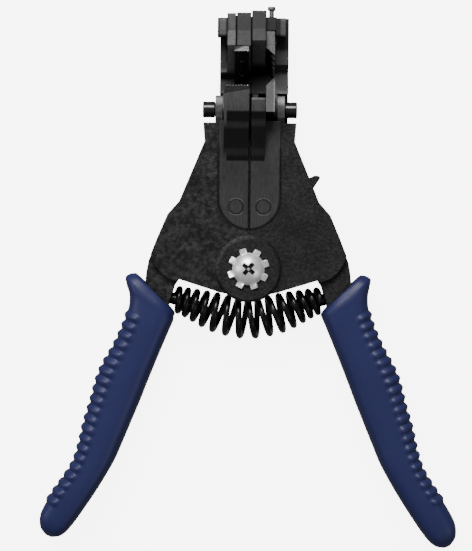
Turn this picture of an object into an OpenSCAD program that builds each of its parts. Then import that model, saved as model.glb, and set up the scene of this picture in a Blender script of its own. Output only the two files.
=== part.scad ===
// Automatic wire stripper: two cast halves on one pivot, a gripping jaw set on
// the left and a cutting jaw set on the right. It lies on its back: +Y points
// to the jaws, +Z to the front, and the pivot axis stands at the origin.

/* [Frames] */
// Thickness of each cast frame
frame_t = 16; // [14:0.5:18]
// Height of the frame shoulders above the pivot
shoulder_y = 47; // [46:0.25:47.25]
// Half width of the body at its widest
hip_w = 33; // [31:0.5:35]
// Gap between the two halves on the centre line
split_gap = 0.3; // [0.2:0.05:0.4]
// Radius of the round pivot boss
boss_r = 10.75; // [10:0.25:10.75]
// Height of the boss rim above the frame's front
boss_rise = 1; // [0.6:0.2:1.4]
// Width of the bevel round the boss rim
boss_bevel = 0.8; // [0.4:0.2:0.9]
// Depth of the step from the body down to the tang
tang_step = 1.8; // [1:0.2:2.4]
// Length of the hanging spur on the right frame
spur_l = 4.6; // [3.5:0.1:5.5]

/* [Pivot] */
// Radius of the sleeve that the halves turn on
sleeve_r = 4; // [3.5:0.25:4.5]
// Radius of the pivot screw's shank
screw_r = 2.5; // [2:0.25:3]
// Radius of the screw head
head_r = 5.1; // [4.5:0.1:5.2]
// Height of the domed screw head
head_h = 2.6; // [2:0.2:3]
// Outer radius of the star washer
washer_r = 6.8; // [6.2:0.1:7.2]
// Thickness of the star washer
washer_t = 0.8; // [0.6:0.1:1]
// Thickness of the pivot nut
nut_t = 3.2; // [2.8:0.2:3.6]
// Width of the pivot nut across its flats
nut_flats = 8; // [7.5:0.25:8.5]

/* [Jaws] */
// Height of the jaw pins above the pivot
pin_y = 51.7; // [51.4:0.1:52]
// Distance of the jaw pins from the back
pin_z = 8.5; // [8.3:0.1:8.7]
// Radius of a jaw pin
pin_r = 1.9; // [1.7:0.1:2.1]
// Radius of a jaw pin's head
pin_head_r = 2.6; // [2.4:0.1:2.8]
// Length of a jaw pin's head
pin_head_l = 4; // [3.5:0.25:4.5]
// Radius of the barrels round the jaw pins
hub_r = 4; // [3.8:0.1:4.1]
// Turn of the upper jaws from rest to shut
shut_deg = 31.5; // [30:0.5:32]
// Thickness of the upper jaws' rear wall
web_t = 3.1; // [2.8:0.1:3.2]
// Height of the shut grip pads above the jaw pins
grip_line = 6.9; // [6.7:0.1:7.1]
// Height of the shut blades above the jaw pins
blade_line = 9.1; // [8.9:0.1:9.3]
// Distance of the lower blade's tip from the back
blade_tip_z = 26.2; // [25.8:0.1:26.6]
// Height of the tallest upper finger above the pivot
jaw_top = 83.4; // [83:0.1:84]
// Thickness of the front bars
bar_t = 5; // [4.8:0.1:5.2]
// Half of the width of the two front bars together
bars_w = 9.9; // [9.8:0.1:10]

/* [Blades and pads] */
// Thickness of a blade
blade_t = 2.8; // [2.6:0.1:2.9]
// Thickness of a grip pad
pad_t = 2.2; // [2:0.1:2.4]
// Depth of the teeth on a grip pad
tooth_d = 0.3; // [0.2:0.05:0.4]
// Pitch of the teeth on a grip pad
tooth_pitch = 0.9; // [0.7:0.1:1.1]
// Radius of the blade and pad screws
small_screw_r = 1.1; // [0.9:0.1:1.2]
// Diameters of the wire notches in the blades
notch_d = [1.2, 1.5, 1.8, 2.2, 2.6];

/* [Handles] */
// Thickness of a grip, front to back
grip_t = 17; // [16:0.5:18]
// Length of a grip along its chord
grip_l = 88; // [84:1:92]
// Width of a grip at its widest
grip_w = 15.6; // [15:0.2:16.2]
// Wall of the dipped grip round the tang
grip_wall = 2.6; // [2.2:0.2:3]
// Angle of a grip's chord from straight down
grip_deg = 23.5; // [22.5:0.5:24.5]
// Distance of the grips' upper ends inside the hips
grip_inset = 2.8; // [2.5:0.1:3.1]
// Distance of the grips' upper ends below the pivot
grip_y = 9; // [8.8:0.1:9.4]

/* [Handle spring] */
// Diameter of the spring wire
wire_d = 2; // [1.8:0.1:2]
// Turns of the handle spring
turns = 14; // [12:1:14]
// Outer radius of the spring at its ends
coil_end_r = 4.4; // [4.2:0.1:4.6]
// Outer radius of the spring at its middle
coil_mid_r = 6.7; // [6.4:0.1:6.8]
// Distance of the spring's middle below the pivot
spring_mid_y = 16.1; // [15.9:0.1:16.4]

/* [Hidden] */
$fn = 64;

// Overrun of a cutting tool past the face that it cuts
over = 1;
// Overlap of shapes that are joined in one piece
join = 1;
// Running clearance of shafts, and the gap between faces that slide past each other
run = 0.05;
slide = 0.1;
// Gap round pieces that swing inside the frames
swing = 0.4;

// Back of the front bars, and the cam plate that runs just behind them
bar_z = frame_t - bar_t;
cam_t = 2;
cam_z = bar_z - cam_t - slide;
cam_hub_inset = 2.75;
cam_hub_r = boss_r - cam_hub_inset;
cam_cover = 3;
cam_w = 7;
cam_r1 = shoulder_y - cam_cover;
cam_r0 = cam_r1 - cam_w;
cam_deg = 18;
cam_flat_deg = 5;
cam_drop = 4.9;

// Widths across one half, measured outwards from the centre line
inner_u = split_gap / 2;
hub_in_u = [0.9, 2.6];
coil_u = [2.7, 5.3];
lug_u = [5.4, 7.1];
hub_out_u = [7.2, 8.8];
ear_u = [8.9, 11.2];
tail_u = [1.1, 2.6];
head_gap = 0.1;
ear_wall = 2.7;
ear_r = pin_r + ear_wall;
grip_x = hip_w - grip_inset;

// Front bars: bottom end, top end and the wedge that carries the lower jaws
bar_end_y = 12.8;
bar_top_y = pin_y - hub_r;
wedge_y = 35;
rivet_r = 2.4;
rivet_stem_r = 1.6;
rivet_y = 20;
rivet_u = [4.6, 4.4];
cam_arm_w = min(rivet_u) - rivet_stem_r - swing;

// Upper jaws: rear wall, fingers and the mouth's back wall. The chamfer breaks
// the rear edges and the nick breaks the front ones.
chamfer = 2;
nick = 0.5;
web_z = 0.7;
web_foot = 2.5;
web_y = pin_y - web_foot;
barrel_neck = 1.7;
wide_y = pin_y + hub_r + barrel_neck;
mouth_z = pin_z + hub_r + nick;
face_z = 14.5;
tail_lap = 1.7;
tail_y = cam_r1 - tail_lap;
tail_t = 2.4;
tail_z = cam_z - slide;
finger_gap = 0.3;
finger_1_x = [-7.6, -4.8];
finger_2_end = 0.1;
finger_3_end = 5;
finger_2_x = [finger_1_x[1] + finger_gap, finger_2_end];
finger_3_x = [finger_2_x[1] + finger_gap, finger_3_end];
blade_x = [finger_3_x[1], finger_3_x[1] + blade_t];
left_arm_out = 9.85;
left_ear_out = 10.7;
left_arm_x = [-left_arm_out, finger_1_x[0]];
left_ear_x = [-left_ear_out, finger_1_x[0]];
right_ear_x = [8.2, 11.2];
right_arm_x = [8.2, 12.4];
right_arm_drop = 2;
ear_y = [75, 80.9];
ear_z = [9, 15.6];

// Lower jaws
grip_block_x = [-8.4, -0.3];
holder_x = [0.4, 4.9];
low_pad_x = [-7.9, -0.4];
up_pad_x = [-5.3, -0.6];

// Turns an outline drawn in Y and Z into a plate from x[0] to x[1]
module slab(x) {
    translate([x[0], 0, 0]) rotate([90, 0, 90]) linear_extrude(x[1] - x[0]) children();
}

// Draws one half, outwards from the centre line: side is -1 for the left half
module half(side) {
    mirror([side < 0 ? 1 : 0, 0, 0]) children();
}

// Turns its children back about the jaw pins, from shut to rest
module at_rest() {
    translate([0, pin_y, pin_z]) rotate([-shut_deg, 0, 0]) translate([0, -pin_y, -pin_z]) children();
}

// Round bar along X through the jaw pins' line
module pin_bar(r, x) {
    translate([x[0], pin_y, pin_z]) rotate([0, 90, 0]) cylinder(r = r, h = x[1] - x[0]);
}

// Outline of one half of the body, in shares of the hip and the shoulder
edge_share = [[0.455, 1], [0.44, 0.872], [0.682, 0.46], [0.795, 0.37], [0.89, 0.213]];
corner_share = [0.62, 0.145];
corner_r_share = 0.343;
lower_share = [[0.68, -0.075], [0.282, -0.162], [0.18, -0.178]];
function at_hip(p) = [p[0] * hip_w, p[1] * shoulder_y];
function body_points() = concat(
    [[inner_u, shoulder_y]],
    [for (p = edge_share) at_hip(p)],
    [for (a = [-12 : -15.5 : -74]) at_hip(corner_share) + hip_w * corner_r_share * [cos(a), sin(a)]],
    [for (p = lower_share) at_hip(p)],
    [[inner_u, 0]]);

// Tang from the hip down to the grip, and its core inside the grip
tang_share = [[0.86, 0.17], [0.935, 0.125], [0.978, 0.049], [0.999, -0.034], [1.007, -0.105]];
tang_in_share = [[0.787, -0.27], [0.725, -0.118], [0.68, -0.069], [0.6, 0.1]];
function tang_points() = concat([for (p = tang_share) at_hip(p)], [for (p = tang_in_share) at_hip(p)]);

// Grip outline along its chord: distance, outer edge and inner edge, in shares
// of the grip's length and of its widest width
grip_share = [[-0.05, 0.58, 0.02, -0.47], [-0.023, 0.715, 0.03, -0.525], [0.005, 0.63, 0.04, -0.53],
              [0.035, 0.52, 0.06, -0.53], [0.08, 0.43, 0.09, -0.53], [0.15, 0.385, 0.15, -0.535],
              [0.23, 0.395, 0.23, -0.545], [0.31, 0.44, 0.31, -0.56], [0.37, 0.43, 0.37, -0.575],
              [0.45, 0.36, 0.45, -0.585], [0.54, 0.3, 0.54, -0.595], [0.62, 0.215, 0.62, -0.6],
              [0.69, 0.175, 0.69, -0.565], [0.76, 0.22, 0.76, -0.515], [0.83, 0.3, 0.83, -0.45],
              [0.9, 0.355, 0.9, -0.375], [0.94, 0.34, 0.95, -0.3], [0.975, 0.25, 0.978, -0.21],
              [0.995, 0.1, 0.995, -0.08]];
// The left grip is shorter, and below its guard it sits nearer the centre line
left_short_share = 0.03;
left_in_share = 0.03;
guard_rows = 3;
function grip_row(i, side) = let (
    q = grip_share[i],
    k = side < 0 ? left_short_share : 0,
    d = side < 0 && i >= guard_rows ? left_in_share : 0)
    [q[0] * (1 - k * q[0]), q[1] - d, q[2] * (1 - k * q[2]), q[3] - d];
function along_grip(s, e) = [grip_x + s * sin(grip_deg) + e * cos(grip_deg),
                             -grip_y - s * cos(grip_deg) + e * sin(grip_deg)];
// Shares of a grip's thickness and the squareness of its sides
grip_thin_share = [0.9, 0.98, 1, 1, 1, 1, 1, 1, 1, 1, 1, 1, 1, 1, 1, 0.98, 0.92, 0.74, 0.4];
grip_square = 2.6;
grip_sides = 20;
function squared(v) = sign(v) * pow(abs(v), 2 / grip_square);
function grip_ring(i, side) = let (
    q = grip_row(i, side),
    a = along_grip(q[0] * grip_l, q[1] * grip_w),
    b = along_grip(q[2] * grip_l, q[3] * grip_w),
    m = (a + b) / 2, h = (a - b) / 2,
    t = grip_t / 2 * grip_thin_share[i])
    [for (k = [0 : grip_sides - 1]) let (
        c = squared(cos(360 * k / grip_sides)), s = squared(sin(360 * k / grip_sides)))
        [m[0] + h[0] * c, m[1] + h[1] * c, grip_t / 2 + t * s]];

// Closed tube through rings of points: n sides, triangles, flat ends
module skin(rings, n) {
    last = len(rings) - 1;
    points = [for (r = rings) for (p = r) p];
    sides = [for (i = [0 : last - 1]) for (k = [0 : n - 1]) let (
        a = i * n + k, b = i * n + (k + 1) % n)
        each [[a, b, a + n], [b, b + n, a + n]]];
    start = [for (k = [1 : n - 2]) [0, k + 1, k]];
    end = [for (k = [1 : n - 2]) [last * n, last * n + k, last * n + k + 1]];
    polyhedron(points = points, faces = concat(sides, start, end));
}

// What lies beyond the flat top of the grip, where the tang ends
module beyond_grip_top() {
    outer = along_grip(grip_share[0][0] * grip_l, grip_share[0][1] * grip_w);
    inner = along_grip(grip_share[0][2] * grip_l, grip_share[0][3] * grip_w);
    down = grip_l * [sin(grip_deg), -cos(grip_deg)];
    side = outer - inner;
    translate(-core_gap / grip_l * down)
        polygon([outer + side, inner - side, inner - side + down, outer + side + down]);
}

// The tang's core inside the grip follows the grip's own outline
core_rows = [5, 7, 9, 11, 13];
core_top_share = [-0.08, 0.14, -0.24];
core_z = [5, 12];
core_gap = 0.05;
function core_points(gap, side) = concat(
    [along_grip(core_top_share[0] * grip_l, core_top_share[1] * grip_w)],
    [for (i = core_rows) let (q = grip_row(i, side))
        along_grip(q[0] * grip_l, q[1] * grip_w - grip_wall + gap)],
    [for (j = [len(core_rows) - 1 : -1 : 0]) let (q = grip_row(core_rows[j], side))
        along_grip(q[2] * grip_l, q[3] * grip_w + grip_wall - gap)],
    [along_grip(core_top_share[0] * grip_l, core_top_share[2] * grip_w)]);

module grip(side) {
    color([0.16, 0.19, 0.38]) half(side) difference() {
        skin([for (i = [0 : len(grip_share) - 1]) grip_ring(i, side)], grip_sides);
        translate([0, 0, core_z[0] - core_gap])
            linear_extrude(core_z[1] - core_z[0] + 2 * core_gap) polygon(core_points(core_gap, side));
    }
}

// Ring sector round the pivot, from a0 to a1 degrees clockwise of straight up
module sector(r0, r1, a0, a1, z0, z1, sides = 128) {
    translate([0, 0, z0]) linear_extrude(z1 - z0) intersection() {
        difference() {
            circle(r = r1, $fn = sides);
            circle(r = r0, $fn = sides);
        }
        polygon([[0, 0], for (a = [a0, (a0 + a1) / 2, a1]) 2 * r1 * [sin(a), cos(a)]]);
    }
}

// Both bars' outline, grown by g
module bars_outline(g) {
    r = bars_w + g;
    translate([0, bar_end_y + bars_w]) circle(r = r);
    translate([-r, bar_end_y + bars_w]) square([2 * r, bar_top_y - bar_end_y - bars_w + g]);
}

// What both frames share, drawn outwards from the centre line
module frame_solid(side) {
    linear_extrude(frame_t) polygon(body_points());
    translate([0, 0, tang_step]) linear_extrude(frame_t - 2 * tang_step) difference() {
        polygon(tang_points());
        beyond_grip_top();
    }
    translate([0, 0, core_z[0]]) linear_extrude(core_z[1] - core_z[0]) polygon(core_points(0, side));
    slab(ear_u) {
        translate([pin_y, pin_z]) circle(r = ear_r);
        translate([tail_y, pin_z - ear_r]) square([pin_y - tail_y, 2 * ear_r]);
    }
    if (side > 0) spur();
}

// Pockets that both frames share: the front bars, the cam plate and the jaw tails
module frame_pockets() {
    translate([0, 0, bar_z - slide]) linear_extrude(frame_t) bars_outline(slide);
    sector(cam_r0 - swing, cam_r1 + swing, 0, cam_deg + 1, cam_z - cam_drop - swing, frame_t - bar_t);
    translate([-over, cam_r0 - swing, web_z]) cube([tail_u[1] + swing + over, shoulder_y, bar_z - web_z]);
    translate([-over, 0, cam_z - slide])
        cube([cam_arm_w + swing + over, cam_r0, bar_z - cam_z + slide]);
    pin_bar(pin_r + run, [0, ear_u[1] + over]);
}

// Pocket behind the boss for the crowns of the handle spring's middle turns
pocket_from = 0.2;
pocket_rows = 12;
module spring_pocket() {
    crown = [for (i = [0 : pocket_rows]) let (
        t = pocket_from + (1 - 2 * pocket_from) * i / pocket_rows, c = spring_line(t))
        [c[0], c[1] + spring_r(t) + swing]];
    low = -2 * spring_mid_y;
    translate([0, 0, frame_t / 2 - coil_mid_r - swing]) linear_extrude(2 * (coil_mid_r + swing))
        polygon(concat(crown, [[crown[pocket_rows][0], low], [crown[0][0], low]]));
}

// Bore, rivet hole and spring seat hole of one half
module frame_holes(i) {
    translate([rivet_u[i], rivet_y, -over]) cylinder(r = rivet_stem_r, h = frame_t + 2 * over);
    seat_place() {
        translate([0, 0, -seat_deep]) cylinder(r = seat_stem_r, h = seat_deep + over);
        translate([0, 0, run]) cylinder(r = seat_post_r + run, h = seat_post_l);
    }
}

// Hook cast on the right frame's flank, in shares of its length
spur_share = [[0, 0], [0.54, 0.82], [0.41, 0.95], [0.13, 0.98], [-0.33, 0.77], [-0.8, 0.5], [-0.6, -0.2]];
spur_at_share = [0.624, 0.553];
spur_t = 7;
module spur() {
    translate(concat(at_hip(spur_at_share), [(frame_t - spur_t) / 2]))
        linear_extrude(spur_t) polygon([for (p = spur_share) spur_l * p]);
}

// Seat of the handle spring on the tang's inner edge
seat_deep = 3;
seat_stem_r = 1.5;
coil_play = 0.5;
seat_post_r = coil_end_r - wire_d - coil_play;
seat_post_l = 2.6;
seat_at_share = 0.433;
seat_edge = at_hip(tang_in_share[1]) - at_hip(tang_in_share[0]);
seat_at = at_hip(tang_in_share[0]) + seat_at_share * seat_edge;
seat_dir = [-seat_edge[1], seat_edge[0]] / norm(seat_edge);
module seat_place() {
    translate([seat_at[0], seat_at[1], frame_t / 2])
        rotate([0, 0, atan2(seat_dir[1], seat_dir[0])]) rotate([0, 90, 0]) children();
}

module left_frame() {
    color([0.2, 0.2, 0.2]) difference() {
        union() {
            half(-1) frame_solid(-1);
            cylinder(r = boss_r, h = cam_z - slide);
        }
        half(-1) frame_pockets();
        half(-1) frame_holes(0);
        spring_pocket();
        translate([0, 0, cam_z - slide]) cylinder(r = boss_r + slide, h = frame_t);
        translate([0, 0, -over]) cylinder(r = sleeve_r, h = frame_t);
        translate([0, 0, -over]) cylinder(d = nut_flats / cos(30) + 2 * run, h = nut_t + over, $fn = 6);
    }
}

module right_frame() {
    color([0.2, 0.2, 0.2]) difference() {
        union() {
            half(1) frame_solid(1);
            translate([0, 0, bar_z]) cylinder(r = boss_r, h = frame_t + boss_rise - bar_z - boss_bevel);
            translate([0, 0, frame_t + boss_rise - boss_bevel])
                cylinder(r1 = boss_r, r2 = boss_r - boss_bevel, h = boss_bevel);
        }
        half(1) frame_pockets();
        half(1) frame_holes(1);
        spring_pocket();
        translate([0, 0, -over]) cylinder(r = boss_r + slide, h = bar_z + over);
        translate([0, 0, -over]) cylinder(r = sleeve_r + run, h = frame_t + 2 * over);
    }
}

module left_grip() { grip(-1); }
module right_grip() { grip(1); }

// Sleeve in the left frame that the right half and the cam plate turn on
sleeve_top = frame_t + boss_rise + run;
module pivot_sleeve() {
    color([0.55, 0.55, 0.57]) difference() {
        translate([0, 0, nut_t]) cylinder(r = sleeve_r, h = sleeve_top - nut_t);
        translate([0, 0, nut_t - over]) cylinder(r = screw_r, h = frame_t + 2 * over);
    }
}

// Pan head on a shank, with a crossed recess
recess_w = 1.1;
recess_l = 4.4;
recess_d = 1.2;
recess_deg = 50;
dome_r = (head_r * head_r + head_h * head_h) / (2 * head_h);
module pivot_screw() {
    top = sleeve_top + washer_t;
    color([0.75, 0.75, 0.78]) difference() {
        union() {
            cylinder(r = screw_r, h = top);
            intersection() {
                translate([0, 0, top]) cylinder(r = head_r, h = head_h);
                translate([0, 0, top + head_h - dome_r]) sphere(r = dome_r);
            }
        }
        for (a = [0, 90])
            translate([0, 0, top + head_h]) rotate([0, 0, recess_deg + a])
                cube([recess_l, recess_w, 2 * recess_d], center = true);
    }
}

// Washer with eight teeth round its edge
tooth_w = 2.2;
first_tooth_deg = 18;
module star_washer() {
    color([0.75, 0.75, 0.78]) translate([0, 0, sleeve_top]) difference() {
        union() {
            cylinder(r = head_r + run, h = washer_t);
            for (a = [0 : 45 : 315]) rotate([0, 0, first_tooth_deg + a]) translate([0, -tooth_w / 2, 0])
                cube([washer_r, tooth_w, washer_t]);
        }
        translate([0, 0, -over]) cylinder(r = screw_r, h = washer_t + 2 * over);
    }
}

module pivot_nut() {
    color([0.5, 0.5, 0.52]) difference() {
        cylinder(d = nut_flats / cos(30), h = nut_t, $fn = 6);
        translate([0, 0, -over]) cylinder(r = screw_r, h = nut_t + 2 * over);
    }
}

// Cam plate on the pivot: its ramps push the jaw tails back as the halves part
ramp_sides = 32;
module cam_ramp(side) {
    r0 = cam_r0 + swing;
    top = cam_z + cam_t;
    hull() {
        sector(r0, cam_r1, side * cam_flat_deg, side * (cam_flat_deg - 1), cam_z, top, ramp_sides);
        sector(r0, cam_r1, side * cam_deg, side * (cam_deg - 1), cam_z - cam_drop, top, ramp_sides);
    }
}
module jaw_cam() {
    color([0.45, 0.45, 0.47]) {
        difference() {
            union() {
                translate([0, 0, cam_z]) cylinder(r = cam_hub_r, h = cam_t);
                translate([-cam_arm_w, 0, cam_z]) cube([2 * cam_arm_w, cam_r0 + join, cam_t]);
                sector(cam_r0, cam_r1, -cam_flat_deg, cam_flat_deg, cam_z, cam_z + cam_t);
                cam_ramp(-1);
                cam_ramp(1);
            }
            translate([0, 0, cam_z - over]) cylinder(r = sleeve_r + run, h = cam_t + 2 * over);
        }
    }
}

// One front bar of the pair, drawn outwards from the centre line
module bar_plate(i) {
    difference() {
        translate([0, 0, bar_z]) linear_extrude(bar_t) intersection() {
            bars_outline(0);
            translate([inner_u, 0]) square([2 * bars_w, 2 * pin_y]);
        }
        translate([rivet_u[i], rivet_y, 0]) cylinder(r = rivet_r, h = frame_t + over);
    }
}

// Lug that hangs a front bar on its jaw pin
module bar_lug() {
    slab(lug_u) {
        translate([pin_y, pin_z]) circle(r = hub_r);
        translate([bar_top_y - join, bar_z]) square([pin_y - bar_top_y + join, join]);
        translate([bar_top_y - swing, pin_z]) square([pin_y - bar_top_y + swing, bar_z - pin_z + join]);
    }
}

// Wedge and block above a bar: the top stands at face_top, and the foot is the
// place, in Y and Z, where the wedge's slope meets the block's front
block_z = 23;
block_top_z = block_z - tooth_d;
block_foot = [50, 22.3];
holder_foot = [49, 21.5];
holder_z = 21.8;
module jaw_block(x, face_top, foot, top_z) {
    slab(x) polygon([[wedge_y, frame_t - slide], foot, [face_top, top_z], [face_top, mouth_z + slide],
                     [pin_y, mouth_z], [bar_top_y - join, bar_z], [wedge_y, bar_z]]);
}

// Room round the jaw pin for the upper jaw's barrels and the coil spring
module barrel_room() {
    for (x = [[-over, lug_u[0] - slide], [lug_u[1] + slide, ear_u[1]]]) pin_bar(hub_r + swing, x);
    pin_bar(pin_r + run, [-over, ear_u[1] + over]);
}

// Tongue of the left bar in a step of the right one: it closes the seam above the cam plate
tongue_y = 42.5;
tongue_reach = 0.6;
tongue_t = 1.2;
module bar_tongue(gap, past) {
    translate([-inner_u - join, tongue_y - past, bar_z - past])
        cube([2 * inner_u + join + tongue_reach + gap, bar_top_y - tongue_y + 2 * past, tongue_t + gap + past]);
}

low_pad_t = 1.2;
module left_lower_jaw() {
    top = pin_y + grip_line - low_pad_t;
    color([0.24, 0.235, 0.23]) difference() {
        union() {
            half(-1) bar_plate(0);
            half(-1) bar_lug();
            bar_tongue(0, 0);
            jaw_block(grip_block_x, top, block_foot, block_top_z);
        }
        half(-1) barrel_room();
        pad_screws_low(small_screw_r);
    }
}

holder_top = 54.6;
module right_lower_jaw() {
    color([0.24, 0.235, 0.23]) difference() {
        union() {
            half(1) bar_plate(1);
            half(1) bar_lug();
            jaw_block(holder_x, holder_top, holder_foot, holder_z);
        }
        half(1) barrel_room();
        bar_tongue(slide, swing);
        blade_screw_set(low_screw_at, blade_x[0] - blade_screw_l);
    }
}

// Room of the mouth, swept back from shut to rest: line is the shut height of its roof
module mouth_room(x, line) {
    at_rest() slab(x) translate([pin_y - 3 * hub_r, mouth_z])
        square([3 * hub_r + line, 3 * mouth_z]);
}

// Barrel on a jaw pin with its foot on the rear wall
module barrel(x) {
    slab(x) {
        translate([pin_y, pin_z]) circle(r = hub_r);
        polygon([[web_y, web_z], [wide_y + join, web_z], [wide_y + join, pin_z + join],
                 [pin_y + hub_r / 2, pin_z + 0.85 * hub_r], [pin_y - 0.75 * hub_r, pin_z]]);
    }
}

// Rear wall and back beam of an upper jaw, with the wall behind the mouth
beam_z = 9;
back_top = jaw_top - chamfer;
module jaw_back(x) {
    slab(x) polygon([[wide_y, web_z], [back_top - chamfer, web_z], [back_top, web_z + chamfer],
                     [back_top, beam_z], [wide_y + 3.5 * chamfer, beam_z], [wide_y + 2.5 * chamfer, mouth_z],
                     [wide_y - nick, mouth_z], [wide_y - nick, beam_z], [wide_y, pin_z - chamfer]]);
}

// Hooked finger: its front face stands at face_z and kicks out below the bevel line
module finger(x, top, bevel_y, tip) {
    slab(x) polygon([[bevel_y - 3 * chamfer, beam_z - nick], [top - chamfer, web_z + chamfer],
                     [top - nick, web_z + 1.5 * chamfer], [top, beam_z - chamfer],
                     [top, face_z - nick], [top - nick, face_z], [bevel_y, face_z], tip,
                     [tip[0] - 1.5 * chamfer, tip[1] + 2 * chamfer],
                     [tip[0] - 6 * chamfer, tip[1] - 2 * chamfer], [wide_y + 2 * chamfer, beam_z]]);
}

// Side arm of an upper jaw, with the raised ear at its upper end
module arm(x, ear_x, drop) {
    top = ear_y[1] - drop;
    slab(x) polygon([[wide_y, web_z], [top - chamfer, web_z], [top, web_z + chamfer], [top, beam_z + nick],
                     [wide_y + 4 * chamfer, beam_z + nick],
                     [wide_y + nick, mouth_z], [wide_y - nick, beam_z], [wide_y, pin_z - chamfer]]);
    slab(ear_x) polygon([[ear_y[0], beam_z], [ear_y[1], beam_z], [ear_y[1], ear_z[1] - 2 * nick],
                         [ear_y[1] - 2 * nick, ear_z[1]], [ear_y[0] + nick, ear_z[1]],
                         [ear_y[0], ear_z[1] - nick]]);
}

// Tail inside the frame that the cam plate pushes back
module tail() {
    slab(tail_u) translate([tail_y, tail_z - tail_t]) square([pin_y - tail_y, tail_t]);
}

// Skirt at the back of an upper jaw, behind its barrels
skirt_t = 2.4;
skirt_y = shoulder_y + swing;
module skirt(x) {
    slab(x) translate([skirt_y, web_z]) square([wide_y + join - skirt_y, skirt_t]);
}

// Lip at the back of the left upper jaw, which covers the joint between the two
finger_drops = [0.9, 0.7];
lip_x = [-hub_in_u[0] - join, hub_in_u[0] - slide];
lip_top = jaw_top - finger_drops[1] - nick;
lip_fold = web_z + 2 * chamfer;
module lip(gap) {
    slab([lip_x[0], lip_x[1] + gap])
        polygon([[skirt_y, web_z - gap], [back_top - chamfer + gap, web_z - gap],
                 [lip_top + gap, lip_fold - gap], [lip_top + gap, lip_fold + skirt_t + 3 * gap],
                 [back_top - chamfer - gap, web_z + skirt_t + gap], [skirt_y, web_z + skirt_t + gap]]);
}

// Ledge on the right upper jaw, in front of that lip
ledge_t = 1.2;
ledge_lap = 0.5;
module ledge() {
    slab([lip_x[1] - ledge_lap, hub_in_u[0] + join]) translate([skirt_y, web_z + skirt_t + slide])
        square([wide_y + join - skirt_y, ledge_t]);
}

// Web at the bottom of the groove between the left jaw's two fingers
groove_d = 3.5;
module finger_web() {
    top = jaw_top - finger_drops[0] - nick;
    slab([finger_1_x[1] - join, finger_2_x[0] + join])
        polygon([[back_top - chamfer, web_z + chamfer], [back_top, web_z + chamfer], [top, lip_fold],
                 [top, face_z - groove_d], [back_top - chamfer, face_z - groove_d]]);
}

// Tips of the fingers in Y and Z, and the height where their front face kicks out
left_tip = [71.2, 22.9];
right_tip = [72.9, 22];
left_bevel_y = 76.8;
right_bevel_y = 77.5;
grip_roof = grip_line + pad_t;
roof_gap = 1.9;
blade_roof = blade_line + roof_gap;
module left_upper_jaw() {
    color([0.27, 0.27, 0.275]) difference() {
        union() {
            half(-1) { barrel(hub_in_u); barrel(hub_out_u); tail(); }
            jaw_back([left_arm_x[0], finger_2_x[1]]);
            finger(finger_1_x, jaw_top - finger_drops[0], left_bevel_y, left_tip);
            finger(finger_2_x, jaw_top - finger_drops[1], left_bevel_y, left_tip);
            finger_web();
            arm(left_arm_x, left_ear_x, 0);
            lip(0);
            skirt([left_arm_x[0], lip_x[0] + join]);
        }
        half(-1) pin_bar(pin_r + run, [-over, ear_u[0]]);
        mouth_room([left_ear_x[0] - over, finger_2_x[1] + over], grip_roof);
        at_rest() pad_screws_up(small_screw_r);
    }
}

// Clamp screw of the upper blade, and the bridge that carries it
post_x = 6.7;
post_z = 9.5;
post_r = 0.8;
post_l = 10.2;
post_play = 0.8;
post_over = 1.7;
post_top = jaw_top + post_over;
post_cap_h = 1.2;
bridge_y = 77.2;
bridge_z = 13;
blade_back = 18.3;
blade_back_y = pin_y + blade_back;
blade_root = 0.6;
blade_root_z = mouth_z + blade_root;
blade_l = 9;
module upper_blade_outline() {
    polygon([[pin_y + blade_line, blade_root_z], [pin_y + blade_line, blade_tip_z],
             [blade_back_y, blade_tip_z + nick], [blade_back_y, blade_tip_z - blade_l]]);
}
module right_upper_jaw() {
    color([0.27, 0.27, 0.275]) difference() {
        union() {
            half(1) { barrel(hub_in_u); barrel(hub_out_u); tail(); }
            jaw_back([finger_3_x[0], right_arm_x[1]]);
            finger(finger_3_x, jaw_top, right_bevel_y, right_tip);
            arm(right_arm_x, right_ear_x, right_arm_drop);
            skirt([hub_in_u[0], right_arm_x[1]]);
            ledge();
            slab([finger_3_x[1] - slide, right_arm_x[0] + slide])
                polygon([[blade_back_y + chamfer, web_z + chamfer], [back_top, web_z + chamfer],
                         [back_top, bridge_z], [bridge_y, bridge_z]]);
        }
        lip(slide);
        half(1) pin_bar(pin_r + run, [-over, ear_u[0]]);
        mouth_room([finger_3_x[0] - over, finger_3_x[1] + slide], blade_roof);
        mouth_room([finger_3_x[1], right_arm_x[1] + over], blade_roof + join);
        at_rest() slab([finger_3_x[1], right_arm_x[0] - slide]) upper_blade_outline();
        at_rest() blade_screw_set(up_screw_at, blade_x[0] - blade_screw_l);
        translate([post_x, post_top, post_z]) rotate([90, 0, 0])
            cylinder(r = post_r, h = post_l + post_play);
    }
}

// Toothed pad whose ridges run front to back: the face stands at y0, the back at y1
module pad(x, y0, y1, z0, z1) {
    n = floor((x[1] - x[0]) / tooth_pitch);
    p = (x[1] - x[0]) / n;
    d = y1 > y0 ? tooth_d : -tooth_d;
    teeth = [for (i = [0 : n - 1]) each [[x[0] + (i + 0.5) * p, y0], [x[0] + (i + 1) * p, y0 + d]]];
    translate([0, 0, z0]) linear_extrude(z1 - z0)
        polygon(concat([[x[1], y0 + d], [x[1], y1], [x[0], y1], [x[0], y0 + d]], teeth));
}

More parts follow.
